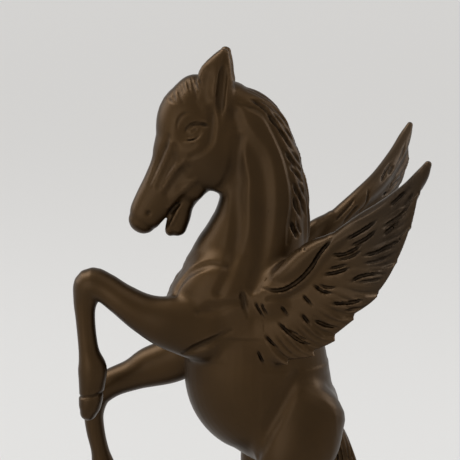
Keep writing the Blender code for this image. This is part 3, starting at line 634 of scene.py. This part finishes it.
# %% Feather slits on both faces of the wings
DEEP_SLITS = [
    [(33.3, 210.3), (40, 215), (45.4, 219.6), (48.6, 223.3)],
    [(35.4, 207.6), (42.1, 211.9), (46.7, 216.6), (48.7, 219.5)],
    [(26.8, 203.7), (33.4, 204), (39.2, 207.8), (43.5, 211.8)],
    [(48, 217.4), (53.1, 222), (57.3, 227.4), (61.2, 233.8)],
    [(49.4, 214.8), (53.5, 219.9), (57.1, 225.7)],
    [(39.9, 203.5), (47.6, 207.2), (53, 212.1), (60, 217.8)],
    [(24.1, 194), (31.4, 195.9), (37.9, 199.4)],
    [(36, 190.9), (39.7, 194.6), (45.8, 196.8), (52.4, 198.8)],
    [(20.1, 189.5), (24.5, 186.4), (30.1, 186.1)],
    [(27.4, 181.4), (35.8, 182.1), (45, 186)],
    [(3.6, 172.2), (9.1, 167.2), (15.5, 162.7), (23, 161.2)],
    [(20.1, 173.5), (26.1, 171), (32.1, 170.3)],
]
FINE_SLITS = [
    [(26.1, 196.5), (31.4, 198.4), (36.9, 200.2)], [(39.4, 192), (45.9, 193.9), (51.5, 197)],
    [(22.4, 189.7), (27.3, 188.1), (31.8, 189.6)], [(15.7, 184.3), (18.2, 181.5), (20.7, 179)],
    [(9.1, 168.5), (14.1, 165.4), (19.8, 162.8)], [(-5.9, 180.1), (-3.6, 176.1), (-1.2, 172)],
    [(5.7, 179.1), (7.6, 176.4), (9.7, 173.7)], [(51.4, 227.7), (55.4, 232.8), (59.9, 238.4)],
    [(56.1, 228.4), (59.1, 232.6), (62.1, 237.9)], [(29.9, 201.2), (36.2, 203.1), (42.9, 208.4)],
    [(15.1, 175.9), (17.6, 172.7), (19.7, 170)], [(-2.9, 179.7), (-1.5, 176.3), (0.4, 173.3)],
    [(-4.6, 157.7), (-3.2, 153.9), (-1, 150.7)], [(-1.3, 165), (1.9, 161.6), (5.5, 158.8)],
    [(33.1, 178.1), (38.6, 179.4), (43.4, 181.8)], [(41, 200.5), (47, 202.8), (53.5, 207.2)],
]
INNER_SLITS = [
    [(29, 207.6), (35.3, 214.2), (40.2, 220)], [(33.4, 206.6), (38.8, 213), (42, 216.6)],
    [(40.5, 211), (44.4, 214.9), (46, 219), (45.6, 223.4)], [(52.6, 218), (57, 222.7), (61, 227)],
    [(54.4, 218.2), (58.5, 221.9), (62.4, 226.1)], [(51.8, 225.2), (54.9, 230.9), (58.2, 234.4)],
    [(55.4, 228.2), (58.6, 232.4)], [(26, 196), (33, 199.5), (42, 206)], [(20, 187), (29, 190), (40, 196)],
    [(15, 180), (23, 178), (33, 181)], [(9, 174), (16, 168), (24, 166)],
]
LOBE_GROOVE = [
    (-4, 186.6), (2.4, 185.8), (6.8, 186.3), (13.4, 190.8), (19.2, 197.7), (22.8, 203.8), (28.6, 211.4)]
ARM_GROOVE = [
    (0.1, 182), (8.3, 183.4), (14.2, 186.6), (20, 193.6), (25.8, 201.4), (32.9, 208.6), (42.8, 216.6)]
BARBS = (0.2, 0.5, 0.8)
for side in (-1, 1):
    draw([(LOBE_GROOVE, 1.0, -1.9, 0.6)], side, (0.25, 0.15))
    draw([(ARM_GROOVE, 2.0, -0.7, 1.5)], side)
    for face in fan(side):
        for feather in range(len(SPINES) - 2):
            draw([(face[feather * FAN_STEPS, 9:21:3], 0.8, -0.7, 0.4)], ends=(0.5, 0.3))
            for place in BARBS:
                barb = face[round((feather + place) * FAN_STEPS), 6:22:3]
                draw([(barb, 0.6, -0.4, 0.4)], ends=(0.4, 0.3))
    draw([(slit, 0.85, -1.5, 0.3) for slit in DEEP_SLITS], side, (0.25, 0.45))
    draw([(slit, 0.7, -1.1, 0.3) for slit in FINE_SLITS], side, (0.25, 0.45))
    for slit in INNER_SLITS:
        horse.stroke(slit, 0.8, -0.9, side, 0.3, (0.2, 0.3), inner=True)
print(len(DEEP_SLITS) + len(FINE_SLITS), "slits outside and", len(INNER_SLITS), "inside each wing")

# %% Muscle lines of the neck, chest and legs
BODY_STROKES = [
    ([(-16.2, 263.5), (-12.2, 255), (-7.6, 246.4), (-3.9, 238.9), (-2.4, 226.1), (-2.6, 210.4),
      (-4, 198), (-7, 186)], 5.0, -1.3, 3.0),
    ([(-13.5, 252), (-13.6, 243.6), (-13.4, 234.9), (-14.1, 226.2), (-14.2, 210.5), (-17, 196),
      (-22, 184)], 3.4, -1.1, 3.0),
    ([(-38, 155.2), (-32.5, 158.2), (-25.5, 161.8), (-16.9, 166.7)], 2.0, -1.5, 1.5),
    ([(-42.2, 181.3), (-38.4, 188.4), (-32.7, 193.2), (-25.7, 196), (-18.9, 195.2)], 2.2, -0.9, 1.6),
    ([(-31.3, 175.1), (-22.6, 177.3), (-14, 179.7)], 3.0, -0.7, 2.4),
    ([(-11.5, 186), (-11, 179.8), (-9.2, 173)], 1.6, -1.4, 1.0),
    ([(13, 146), (7.1, 133.5), (0.4, 119), (-4.2, 107)], 3.2, -1.3, 3.2),
]
MIDDLE_STROKES = [
    ([(-44, 0, 190), (-44, 0, 170), (-40, 0, 150)], 3.0, -1.6, 2.0),
    ([(10, 0, 190), (25, 0, 165), (29, 0, 142)], 4.0, -1.4, 2.5),
]
CORONET = 1.15  # how far outside the pastern the groove over a hoof is laid
for side in (-1, 1):
    draw(BODY_STROKES, side, (0.3, 0.5))
draw(MIDDLE_STROKES)
for name, stations in HOOVES.items():
    x, y, z, deep, wide = stations[0]
    lift = 2.6 if "fore" in name else 0.5
    ring = [(x + CORONET * deep * math.cos(a), y + CORONET * wide * math.sin(a),
             z + lift + 0.8 * math.cos(a)) for a in np.linspace(0, 2 * np.pi, 25)]
    draw([(ring, 0.8, -0.6, 0.5)], ends=(0.01, 0.01))
heights = horse.axes((slice(0, 1), slice(0, 1), slice(0, horse.field.shape[2])))[2]
np.maximum(horse.field, -heights, out=horse.field)
print("muscle lines, coronets, and the soles cut flat")

# %% [markdown]
# ## From clay to castings
#
# The field becomes one mesh, which is thinned where it is smooth. The foundry parts the figure
# where the CAD model does, so the same blocks cut the mesh: a Boolean keeps what is inside a block
# for its casting, and takes it from the body.

# %% The whole figure as a mesh
FIGURE_FACES = 330000


def evaluated(made):
    """The object's mesh with its modifiers applied."""
    return bpy.data.meshes.new_from_object(made.evaluated_get(bpy.context.evaluated_depsgraph_get()))


def new_object(name, data):
    """An object in the scene."""
    made = bpy.data.objects.new(name, data)
    bpy.context.scene.collection.objects.link(made)
    return made


def mesh_object(name, points, faces):
    """An object in the scene with a mesh from lists."""
    data = bpy.data.meshes.new(name)
    data.from_pydata(points, [], faces)
    return new_object(name, data)


grid = openvdb.FloatGrid(BAND)
grid.copyFromArray(horse.field)
points, _, quads = grid.convertToPolygons(0.0, 0.0)
corners = points[quads[:, :3]]
if np.einsum("ij,ij->i", corners[:, 0], np.cross(corners[:, 1], corners[:, 2])).sum() < 0:
    quads = quads[:, ::-1]
points = (points * GRAIN + horse.low + (0, 0, SOLE_HEIGHT)) / 1000
whole = mesh_object("whole_figure", points.tolist(), quads.tolist())
thin = whole.modifiers.new("thin", "DECIMATE")
thin.ratio = min(1.0, FIGURE_FACES / (2 * len(quads)))
figure = evaluated(whole)
bpy.data.objects.remove(whole)
print("figure:", len(quads), "quads thinned to", len(figure.polygons), "triangles")

# %% Parting the figure into its castings
PARTINGS = {
    "head": ([(-13.5, 280), (-22.5, 228.5), (-40, 203.5), (-75, 196), (-75, 301), (-10, 301)], -25, 25),
    "left_foreleg": (
        [(-46.5, 186), (-56.5, 153), (-72, 112), (-100, 112), (-100, 200), (-60, 200)], -32, -3),
    "right_foreleg": ([(-57.5, 150), (-42.5, 128), (-62, 58), (-102, 58), (-102, 150)], 3, 30),
    "left_hind_leg": ([(-10, 78), (42, 78), (42, -9), (-10, -9)], -32, -6.5),
    "right_hind_leg": ([(-22, 76), (24, 76), (24, -9), (-22, -9)], 6.5, 34),
    "tail": ([(45, 114.5), (27.5, 99.7), (27.5, -9), (80, -9), (80, 114.5)], -9, 14),
}
WING_SEAT = (0, 22.5, 175)
WING_OUT = (0.26, 0.96, 0.1)
WING_BLOCK = [(-16, -31), (86, -31), (86, 86), (-16, 86)]
WING_BLOCK_DEPTH = 76


def parting_block(name):
    """The block whose inside is one casting, in metres."""
    place = Matrix()
    if name in PARTINGS:
        outline, low, high = PARTINGS[name]
    else:
        outline, low, high = WING_BLOCK, 0, WING_BLOCK_DEPTH
        side = -1 if name.startswith("left") else 1
        out = Vector((WING_OUT[0], WING_OUT[1] * side, WING_OUT[2])).normalized()
        fore = Vector((out.y, -out.x, 0)).normalized() * side
        turn = Matrix((fore, out, fore.cross(out) * side)).transposed().to_4x4()
        place = Matrix.Translation((WING_SEAT[0], WING_SEAT[1] * side, WING_SEAT[2])) @ turn
    corners = [place @ Vector((x, y, z)) for y in (low, high) for x, z in outline]
    corners = [(p + Vector((0, 0, SOLE_HEIGHT))) / 1000 for p in corners]
    count = len(outline)
    faces = [list(range(count)), list(range(2 * count - 1, count - 1, -1))]
    faces += [[(k + 1) % count, k, count + k, count + (k + 1) % count] for k in range(count)]
    made = mesh_object(name + "_block", corners, faces)
    end = made.data.polygons[0]
    if (end.center - sum(corners, Vector()) / len(corners)).dot(end.normal) < 0:
        made.data.flip_normals()
    return made


def part_off(made, operation, block):
    """Let a block cut an object, or keep only what is inside the block."""
    step = made.modifiers.new(block.name, "BOOLEAN")
    step.operation = operation
    step.solver = "MANIFOLD"
    step.object = block


castings = {"body": new_object("bronze_body", figure)}
blocks = {name: parting_block(name) for name in (*PARTINGS, "left_wing", "right_wing")}
for name, block in blocks.items():
    castings[name] = new_object("bronze_" + name, figure)
    part_off(castings[name], "INTERSECT", block)
    part_off(castings["body"], "DIFFERENCE", block)
parted = {name: evaluated(made) for name, made in castings.items()}
for name, made in castings.items():
    made.modifiers.clear()
    made.data = parted[name]
    made.data.shade_smooth()
    made.data.set_sharp_from_angle(angle=math.radians(55))
    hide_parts(name)
    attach(made, "root")
    print(made.name, len(made.data.polygons), "triangles")
for block in blocks.values():
    bpy.data.objects.remove(block)

# %% [markdown]
# ## Where the patina is rubbed, where it gathers, and where shade is painted
#
# Wax and handling brighten the ridges of a bronze, and the dark patina stays in its hollows. The
# clay knows both: the average distance in a small cube round a point of the skin is above zero on a
# ridge and below zero in a hollow. Every vertex stores it for the material to read: as relief for small
# cubes, and, for broad cubes, as a mean that the material uses to paint shade into broad recesses.

# %% Measure ridges and hollows on every casting
SMALL = round(1.6 / GRAIN)
CUBES = {"relief": SMALL, "broad_shade": 3 * SMALL}  # sizes in cells


def averaged(field, size):
    """A field on a coarser grid, each cell the mean of a cube of cells."""
    shape = [n // size for n in field.shape]
    kept = field[:shape[0] * size, :shape[1] * size, :shape[2] * size]
    return kept.reshape(shape[0], size, shape[1], size, shape[2], size).mean((1, 3, 5))


means = {label: averaged(horse.field, size) for label, size in CUBES.items()}
for made in castings.values():
    spots = np.empty(len(made.data.vertices) * 3, np.float32)
    made.data.vertices.foreach_get("co", spots)
    cells = (spots.reshape(-1, 3) * 1000.0 - (0, 0, SOLE_HEIGHT) - horse.low) / GRAIN
    for label, size in CUBES.items():
        values = blended(means[label], (cells - (size - 1) / 2) / size).astype(np.float32)
        made.data.attributes.new(label, "FLOAT", "POINT").data.foreach_set("value", values)
        if made.name == "bronze_head":
            print(label, "on the head", [round(float(v), 2) for v in (values.min(), values.max())], "mm")

# %% [markdown]
# ## Shader maths as Python
#
# A material is a graph of nodes. Wiring Math nodes one by one hides the idea, so a small class wraps
# an output socket and overloads the operators: an expression such as 1 - mask then adds the nodes
# itself. Every other node comes from one method that takes its type, settings and inputs.

# %% Sockets that do arithmetic
class Signal:
    """One output socket, ready for arithmetic."""

    def __init__(self, graph, socket):
        self.graph = graph
        self.socket = socket

    def math(self, operation, first, second):
        """The node behind every operator."""
        return self.graph.node("ShaderNodeMath", {"operation": operation}, {0: first, 1: second})

    def __add__(self, other):
        return self.math("ADD", self, other)

    def __sub__(self, other):
        return self.math("SUBTRACT", self, other)

    def __rsub__(self, other):
        return self.math("SUBTRACT", other, self)

    def __mul__(self, other):
        return self.math("MULTIPLY", self, other)

    __radd__ = __add__
    __rmul__ = __mul__

    def clamp(self, low, high):
        """Stretch the range from low to high over 0 to 1, and stop at both ends."""
        return self.graph.node("ShaderNodeMapRange", {"clamp": True}, {
            "Value": self, "From Min": low, "From Max": high}, "Result")


class Graph:
    """The nodes of a material or of the world."""

    def __init__(self, owner):
        owner.use_nodes = True
        self.tree = owner.node_tree

    def node(self, kind, settings=None, inputs=None, output=0):
        """Add any node, and give back one of its outputs."""
        made = self.tree.nodes.new(kind)
        for key, value in (settings or {}).items():
            setattr(made, key, value)
        for key, value in (inputs or {}).items():
            self.plug(made.inputs[key], value)
        return Signal(self, made.outputs[output])

    def plug(self, socket, value):
        """Link a signal to an input, or set the input to a constant."""
        if isinstance(value, Signal):
            self.tree.links.new(value.socket, socket)
        else:
            socket.default_value = value

    def shown(self):
        """One for the rays that show a surround: to the camera, from a gloss, or through glass."""
        total = self.node("ShaderNodeLightPath", output="Is Camera Ray")
        for ray in ("Is Glossy Ray", "Is Transmission Ray"):
            total = total + self.node("ShaderNodeLightPath", output=ray)
        return total.clamp(0, 1)


class Finish(Graph):
    """A procedural material, built up by its own short function."""

    def __init__(self, name):
        self.material = bpy.data.materials.new(name)
        super().__init__(self.material)
        self.shader = self.tree.nodes["Principled BSDF"]

    def set(self, **inputs):
        """Plug into the shader, with low lines for the spaces in the names of its inputs."""
        for key, value in inputs.items():
            self.plug(self.shader.inputs[key.replace("_", " ")], value)

    def place(self):
        """Where a point lies on its object, in metres."""
        return self.node("ShaderNodeTexCoord", output="Object")

    def noise(self, scale, detail=3.0, roughness=0.55, stretch=(1, 1, 1)):
        """Noise in object space, its scale counted in swirls for each metre."""
        place = self.node("ShaderNodeVectorMath", {"operation": "MULTIPLY"}, {
            0: self.place(), 1: stretch}, "Vector")
        return self.node("ShaderNodeTexNoise", None, {
            "Vector": place, "Scale": scale, "Detail": detail, "Roughness": roughness}, "Fac")

    def mix(self, share, first, second):
        """A colour between two colours."""
        return self.node("ShaderNodeMix", {"data_type": "RGBA"}, {0: share, 6: first, 7: second}, 2)

    def bump(self, height, strength, distance):
        """A surface that leans as if it had this height."""
        return self.node("ShaderNodeBump", None, {
            "Height": height, "Strength": strength, "Distance": distance}, "Normal")

    def attribute(self, name):
        """A number that the vertices store."""
        return self.node("ShaderNodeAttribute", {"attribute_name": name}, None, "Fac")


def rgb(red, green, blue):
    """A colour with full alpha."""
    return (red, green, blue, 1.0)


print("shader tools ready")

# %% [markdown]
# ## The brown bronze
#
# The finish is a hot chemical patina under wax: chocolate brown, nearly black in the hollows and
# rubbed to a lighter, warm brown on the ridges. Painted shade darkens broad recesses and the feathers,
# which are told by how far out they lie. Wax gives a second, soft gloss that shows the cool daylight,
# so the shader has a metal base and a thin coat, which all but ends in the hollows.

# %% Bronze patina and painted shade
# Where the painted shade on the feathers begins and where it is full.
WING_SHADE_FROM, WING_SHADE_FULL = 0.026, 0.038  # metres from the middle plane


def bronze_patina():
    made = Finish("bronze_patina")
    relief = made.attribute("relief")
    broad_shade = made.attribute("broad_shade")
    cloud = made.noise(26.0, 4.0)
    speck = made.noise(420.0, 3.0)
    rubbed = (relief + 0.10 * (cloud - 0.5)).clamp(0.04, 0.32)
    hollow = (0 - relief + 0.10 * (cloud - 0.5)).clamp(0.03, 0.40)
    # Painted shade: broad recesses, where the broad mean of the clay is below zero, are darkened.
    deep = (0 - broad_shade).clamp(0.2, 1.6)
    # Painted shade on the feathers: the farther a point lies out from the middle plane, the darker it is.
    across = made.node("ShaderNodeSeparateXYZ", None, {"Vector": made.place()}, "Y")
    feathers = (across * across).clamp(WING_SHADE_FROM ** 2, WING_SHADE_FULL ** 2)
    brown = made.mix(cloud.clamp(0.3, 0.7), rgb(0.033, 0.0160, 0.0030), rgb(0.048, 0.0235, 0.0052))
    brown = made.mix(rubbed * 0.4, brown, rgb(0.12, 0.070, 0.034))
    brown = made.mix(hollow * 0.9, brown, rgb(0.010, 0.006, 0.003))
    # The next two mixes paint shade: into broad recesses, and onto the feathers.
    brown = made.mix(deep * 0.35, brown, rgb(0.014, 0.009, 0.005))
    brown = made.mix(feathers * 0.45, brown, rgb(0.018, 0.013, 0.008))
    gloss = 0.45 + 0.10 * (cloud - 0.5) + 0.06 * (speck - 0.5) - 0.05 * rubbed + 0.12 * hollow
    grain = speck * 0.5 + made.noise(1500.0, 2.0) * 0.5
    made.set(Base_Color=brown, Roughness=gloss, Metallic=0.93, Normal=made.bump(grain, 0.10, 0.0004))
    made.set(Coat_Weight=0.18 - 0.16 * hollow, Coat_Roughness=0.36)
    return made.material


bronze = bronze_patina()
for made in castings.values():
    made.data.materials.clear()
    made.data.materials.append(bronze)
print("bronze on", len(castings), "castings")

# %% [markdown]
# ## The cast ground, the stone plinth and the felt
#
# The photograph ends above the base, so the base is the usual one for such a bronze: a low cast
# mound under the hooves, a polished dark plinth, and felt below it to spare the table. The mound is
# rebuilt here with tool marks. It and the felt are stacks of rings that follow a rounded square,
# and one function closes either stack into a mesh.

# %% A tooled bronze ground
GROUND_POINTS, GROUND_POWER = 220, 2.6
GROUND_SIDE = [
    (0, 0), (0.1, 0.004), (0.22, 0.01), (0.35, 0.018), (0.5, 0.034), (0.62, 0.052), (0.74, 0.074),
    (0.84, 0.1), (0.92, 0.13), (0.97, 0.165), (1, 0.2),
]
GROUND_TOP = [(1, 0.2 + 0.8 * k / 24) for k in range(1, 24)]


def turns(count):
    """Equal steps round a circle."""
    return [2 * math.pi * k / count for k in range(count)]


def squareness(turn, power):
    """What a circle's reach is divided by at a turn to make it a rounded square."""
    return (abs(math.cos(turn)) ** power + abs(math.sin(turn)) ** power) ** (1 / power)


def ring_object(name, rings):
    """A closed object from rings, listed from the bottom to the top."""
    around = len(rings[0])
    points = [p for ring in rings for p in ring]
    faces = [list(range(around))[::-1]]
    for start in range(0, len(points) - around, around):
        for k in range(around):
            nxt = (k + 1) % around
            faces.append([start + k, start + nxt, start + around + nxt, start + around + k])
    faces.append(list(range(len(points) - around, len(points))))
    made = mesh_object(name, points, faces)
    made.data.shade_smooth()
    return made


def bronze_ground():
    """The mound: uneven rings that draw in as they rise, then close over the top."""
    low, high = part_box("bronze_ground")
    half = (high - low) / 2
    rings = []
    for rise, inset in GROUND_SIDE + GROUND_TOP:
        ring = []
        for turn in turns(GROUND_POINTS):
            uneven = 0.02 * math.sin(3 * turn + 1) + 0.012 * math.sin(7 * turn) * (1 + rise)
            reach = (1 - inset - uneven * (1 - inset)) / 1.03
            reach /= squareness(turn, GROUND_POWER)
            spot = Vector((half.x * reach * math.cos(turn), half.y * reach * math.sin(turn), 0))
            tooled = noise.noise(Vector((spot.x * 120, spot.y * 120, rise * 3))) - 0.5
            tooled += 0.5 * noise.noise(Vector((spot.x * 330, spot.y * 330, rise * 5)))
            side_wall = 1 - rise ** 6
            spot *= 1 + 0.012 * tooled * side_wall
            sink = 0.0011 * max(0.0, -tooled - 0.2) * min(1.0, inset * 6)
            ring.append((spot.x, spot.y, low.z + (high.z - low.z) * rise - sink))
        rings.append(ring)
    made = ring_object("tooled_ground", rings)
    heights = np.array([p[2] for ring in rings for p in ring])
    for label, values in (("relief", (heights - high.z) * 150), ("broad_shade", 0 * heights)):
        attribute = made.data.attributes.new(label, "FLOAT", "POINT")
        attribute.data.foreach_set("value", values.astype(np.float32))
    made.data.materials.append(bronze)
    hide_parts("bronze_ground")
    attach(made, "root")
    return made


print("ground with", len(bronze_ground().data.polygons), "faces")

# %% [markdown]
# ## Felt, stone, brass and steel
#
# The felt is rebuilt with an edge that the plinth's weight has rounded, and its shader is fine noise
# for the fibres. The plinth, the dowels and the fixings have the right shape in CAD, so they only
# get better materials. The stone's veins are the edges of Voronoi cells, bent by noise and broken
# up by more noise. The turned metals have noise that is drawn out along Z.

# %% The pad and the four finishes
FELT_POINTS, FELT_POWER = 240, 14
FELT_SIDE = ((0, 0.0012), (0.12, 0.0004), (0.35, 0), (0.7, 0.0001), (1, 0.0005))
FUZZ = 0.00012


def base_felt():
    made = Finish("base_felt")
    fibre = made.noise(2600.0, 4.0, 0.7)
    cloud = made.noise(60.0, 3.0)
    green = made.mix(fibre, rgb(0.012, 0.030, 0.018), rgb(0.035, 0.070, 0.042))
    green = made.mix(cloud * 0.4, green, rgb(0.020, 0.042, 0.026))
    made.set(Base_Color=green, Roughness=0.96, Sheen_Weight=0.4, Normal=made.bump(fibre, 0.6, 0.0006))
    return made.material


def plinth_stone():
    made = Finish("plinth_stone")
    place = made.place()
    drift = made.node("ShaderNodeTexNoise", None, {"Vector": place, "Scale": 22.0, "Detail": 5.0}, "Color")
    bent = made.node("ShaderNodeVectorMath", {"operation": "MULTIPLY_ADD"}, {
        0: drift, 1: (0.05, 0.05, 0.05), 2: place}, "Vector")
    web = made.node("ShaderNodeTexVoronoi", {"feature": "DISTANCE_TO_EDGE"}, {
        "Vector": bent, "Scale": 26.0}, "Distance")
    vein = (1 - web.clamp(0.0, 0.05)) * made.noise(30.0, 2.0).clamp(0.45, 0.75)
    cloud = made.noise(45.0, 5.0)
    dark = made.mix(cloud, rgb(0.008, 0.008, 0.009), rgb(0.026, 0.026, 0.028))
    stone = made.mix(vein * 0.8, dark, rgb(0.42, 0.40, 0.37))
    made.set(Base_Color=stone, Roughness=0.14 + 0.10 * made.noise(300.0), Coat_Weight=0.3)
    return made.material


def turned_metal(name, colour, worn, roughness):
    made = Finish(name)
    lines = made.noise(900.0, 2.0, 0.5, (1, 1, 0.05))
    stain = made.noise(160.0, 3.0)
    made.set(Base_Color=made.mix(stain, colour, worn), Metallic=1.0)
    made.set(Roughness=roughness + 0.15 * (lines - 0.5), Normal=made.bump(lines, 0.12, 0.0002))
    return made.material


def pressed_felt():
    """The felt as a pad whose edge is rounded by the plinth's weight."""
    low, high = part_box("felt_pad")
    middle, half = (low + high) / 2, (high - low) / 2
    rings = []
    for height, inset in FELT_SIDE:
        ring = []
        for turn in turns(FELT_POINTS):
            scale = 1 / squareness(turn, FELT_POWER)
            fuzz = FUZZ * noise.noise(Vector((9 * math.cos(turn), 9 * math.sin(turn), height * 4)))
            x = (half.x - inset) * scale * math.cos(turn) + fuzz
            y = (half.y - inset) * scale * math.sin(turn) + fuzz
            ring.append((middle.x + x, middle.y + y, low.z + (high.z - low.z) * height))
        rings.append(ring)
    made = ring_object("pressed_felt", rings)
    made.data.set_sharp_from_angle(angle=math.radians(50))
    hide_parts("felt_pad")
    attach(made, "root")
    return made


pressed_felt().data.materials.append(base_felt())
brass = turned_metal("dowel_brass", rgb(0.45, 0.33, 0.14), rgb(0.34, 0.23, 0.09), 0.35)
steel = turned_metal("fixing_steel", rgb(0.42, 0.43, 0.44), rgb(0.30, 0.31, 0.32), 0.35)
stone = plinth_stone()
for name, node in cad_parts.items():
    if name in castings or name in ("bronze_ground", "felt_pad"):
        continue
    look = brass if name.endswith("dowel") else steel
    node.data.materials.clear()
    node.data.materials.append(stone if name == "stone_plinth" else look)
print("felt, stone, brass and steel are on")

# %% [markdown]
# ## Light, floor and camera
#
# The photograph was taken near a window: soft, cool light from the upper left, a pale wall, and a
# warm bounce from below. A wide sun gives the daylight, and four round area lamps stand for the
# windows and the sky. The floor and the world throw warm light back onto the bronze, but the rays
# that show them, to the camera, from a gloss or through glass, find them pale. The camera looks at
# the near side from a little above, from the tail's side of square on.

# %% A pale floor and soft daylight
FLOOR_POINTS, FLOOR_REACH = 96, 12
SUN_SPOT, SUN_STRENGTH, SUN_WIDTH = (-0.52, -0.05, 0.85), 1.9, math.radians(35)
MIDDLE = (-0.01, 0, 0.2)
WINDOWS = {  # each with its spot, its size and its power
    "window": ((-1.3, 0.15, 0.8), 1.1, 9),
    "near_window": ((-0.5, -0.75, 0.3), 0.6, 1.3),
    "sky": ((0.5, -0.45, 1.1), 0.8, 1.5),
    "rear_window": ((0.9, 0.2, 0.6), 0.6, 3),
}


def pale_floor():
    """A wide disc, pale where it shows and warmer in the light that it throws back."""
    edge = [(FLOOR_REACH * math.cos(t), FLOOR_REACH * math.sin(t), 0) for t in turns(FLOOR_POINTS)]
    faces = [(0, 1 + k, 1 + (k + 1) % FLOOR_POINTS) for k in range(FLOOR_POINTS)]
    made = mesh_object("pale_floor", [(0, 0, 0)] + edge, faces)
    finish = Finish("pale_floor")
    seen = finish.shown()
    glow = finish.mix(seen, rgb(0, 0, 0), rgb(0.36, 0.36, 0.362))
    finish.set(Base_Color=finish.mix(seen, rgb(0.50, 0.47, 0.42), rgb(0.36, 0.36, 0.355)), Roughness=0.9)
    finish.set(Emission_Color=glow, Emission_Strength=1.0)
    made.data.materials.append(finish.material)


def lamp(name, kind, spot, target, power, colour, **settings):
    """A lamp that points at a target."""
    data = bpy.data.lights.new(name, kind)
    data.energy = power
    data.color = colour
    for key, value in settings.items():
        setattr(data, key, value)
    made = new_object(name, data)
    made.location = spot
    made.rotation_euler = (Vector(target) - Vector(spot)).to_track_quat("-Z", "Y").to_euler()


def pale_world():
    """A dim warm surround, and a pale one for the rays that show it."""
    world = bpy.data.worlds.new("studio")
    graph = Graph(world)
    warm = graph.tree.nodes["Background"]
    graph.plug(warm.inputs["Color"], rgb(1.0, 0.84, 0.62))
    graph.plug(warm.inputs["Strength"], 0.2)
    pale = graph.node("ShaderNodeBackground", None, {"Color": rgb(0.61, 0.60, 0.585)})
    chosen = graph.node("ShaderNodeMixShader", None, {
        0: graph.shown(), 1: Signal(graph, warm.outputs[0]), 2: pale})
    graph.plug(graph.tree.nodes["World Output"].inputs["Surface"], chosen)
    bpy.context.scene.world = world


pale_floor()
lamp("daylight", "SUN", SUN_SPOT, (0, 0, 0), SUN_STRENGTH, (0.97, 0.985, 1.0), angle=SUN_WIDTH)
for name, (spot, size, power) in WINDOWS.items():
    lamp(name, "AREA", spot, MIDDLE, power, (0.96, 0.98, 1.0), shape="DISK", size=size)
pale_world()
print("floor, daylight and", len(WINDOWS), "windows")

# %% The camera at the photograph's angle
AZIMUTH, ELEVATION = math.radians(3.4), math.radians(11)
DISTANCE = 0.700
FRAME_WIDTH = 0.2116
TARGET = Vector((-0.0184, 0, 0.2423))
away = Vector((math.sin(AZIMUTH) * math.cos(ELEVATION), -math.cos(AZIMUTH) * math.cos(ELEVATION),
               math.sin(ELEVATION)))
lens = bpy.data.cameras.new("photo_camera")
lens.angle = 2 * math.atan(FRAME_WIDTH / 2 / DISTANCE)
lens.clip_start = 0.01
camera = new_object("photo_camera", lens)
camera.location = TARGET + away * DISTANCE
camera.rotation_euler = (-away).to_track_quat("-Z", "Y").to_euler()
bpy.context.scene.camera = camera
bpy.context.scene.view_settings.view_transform = "Standard"
print("camera angle", round(math.degrees(lens.angle), 2), "degrees")
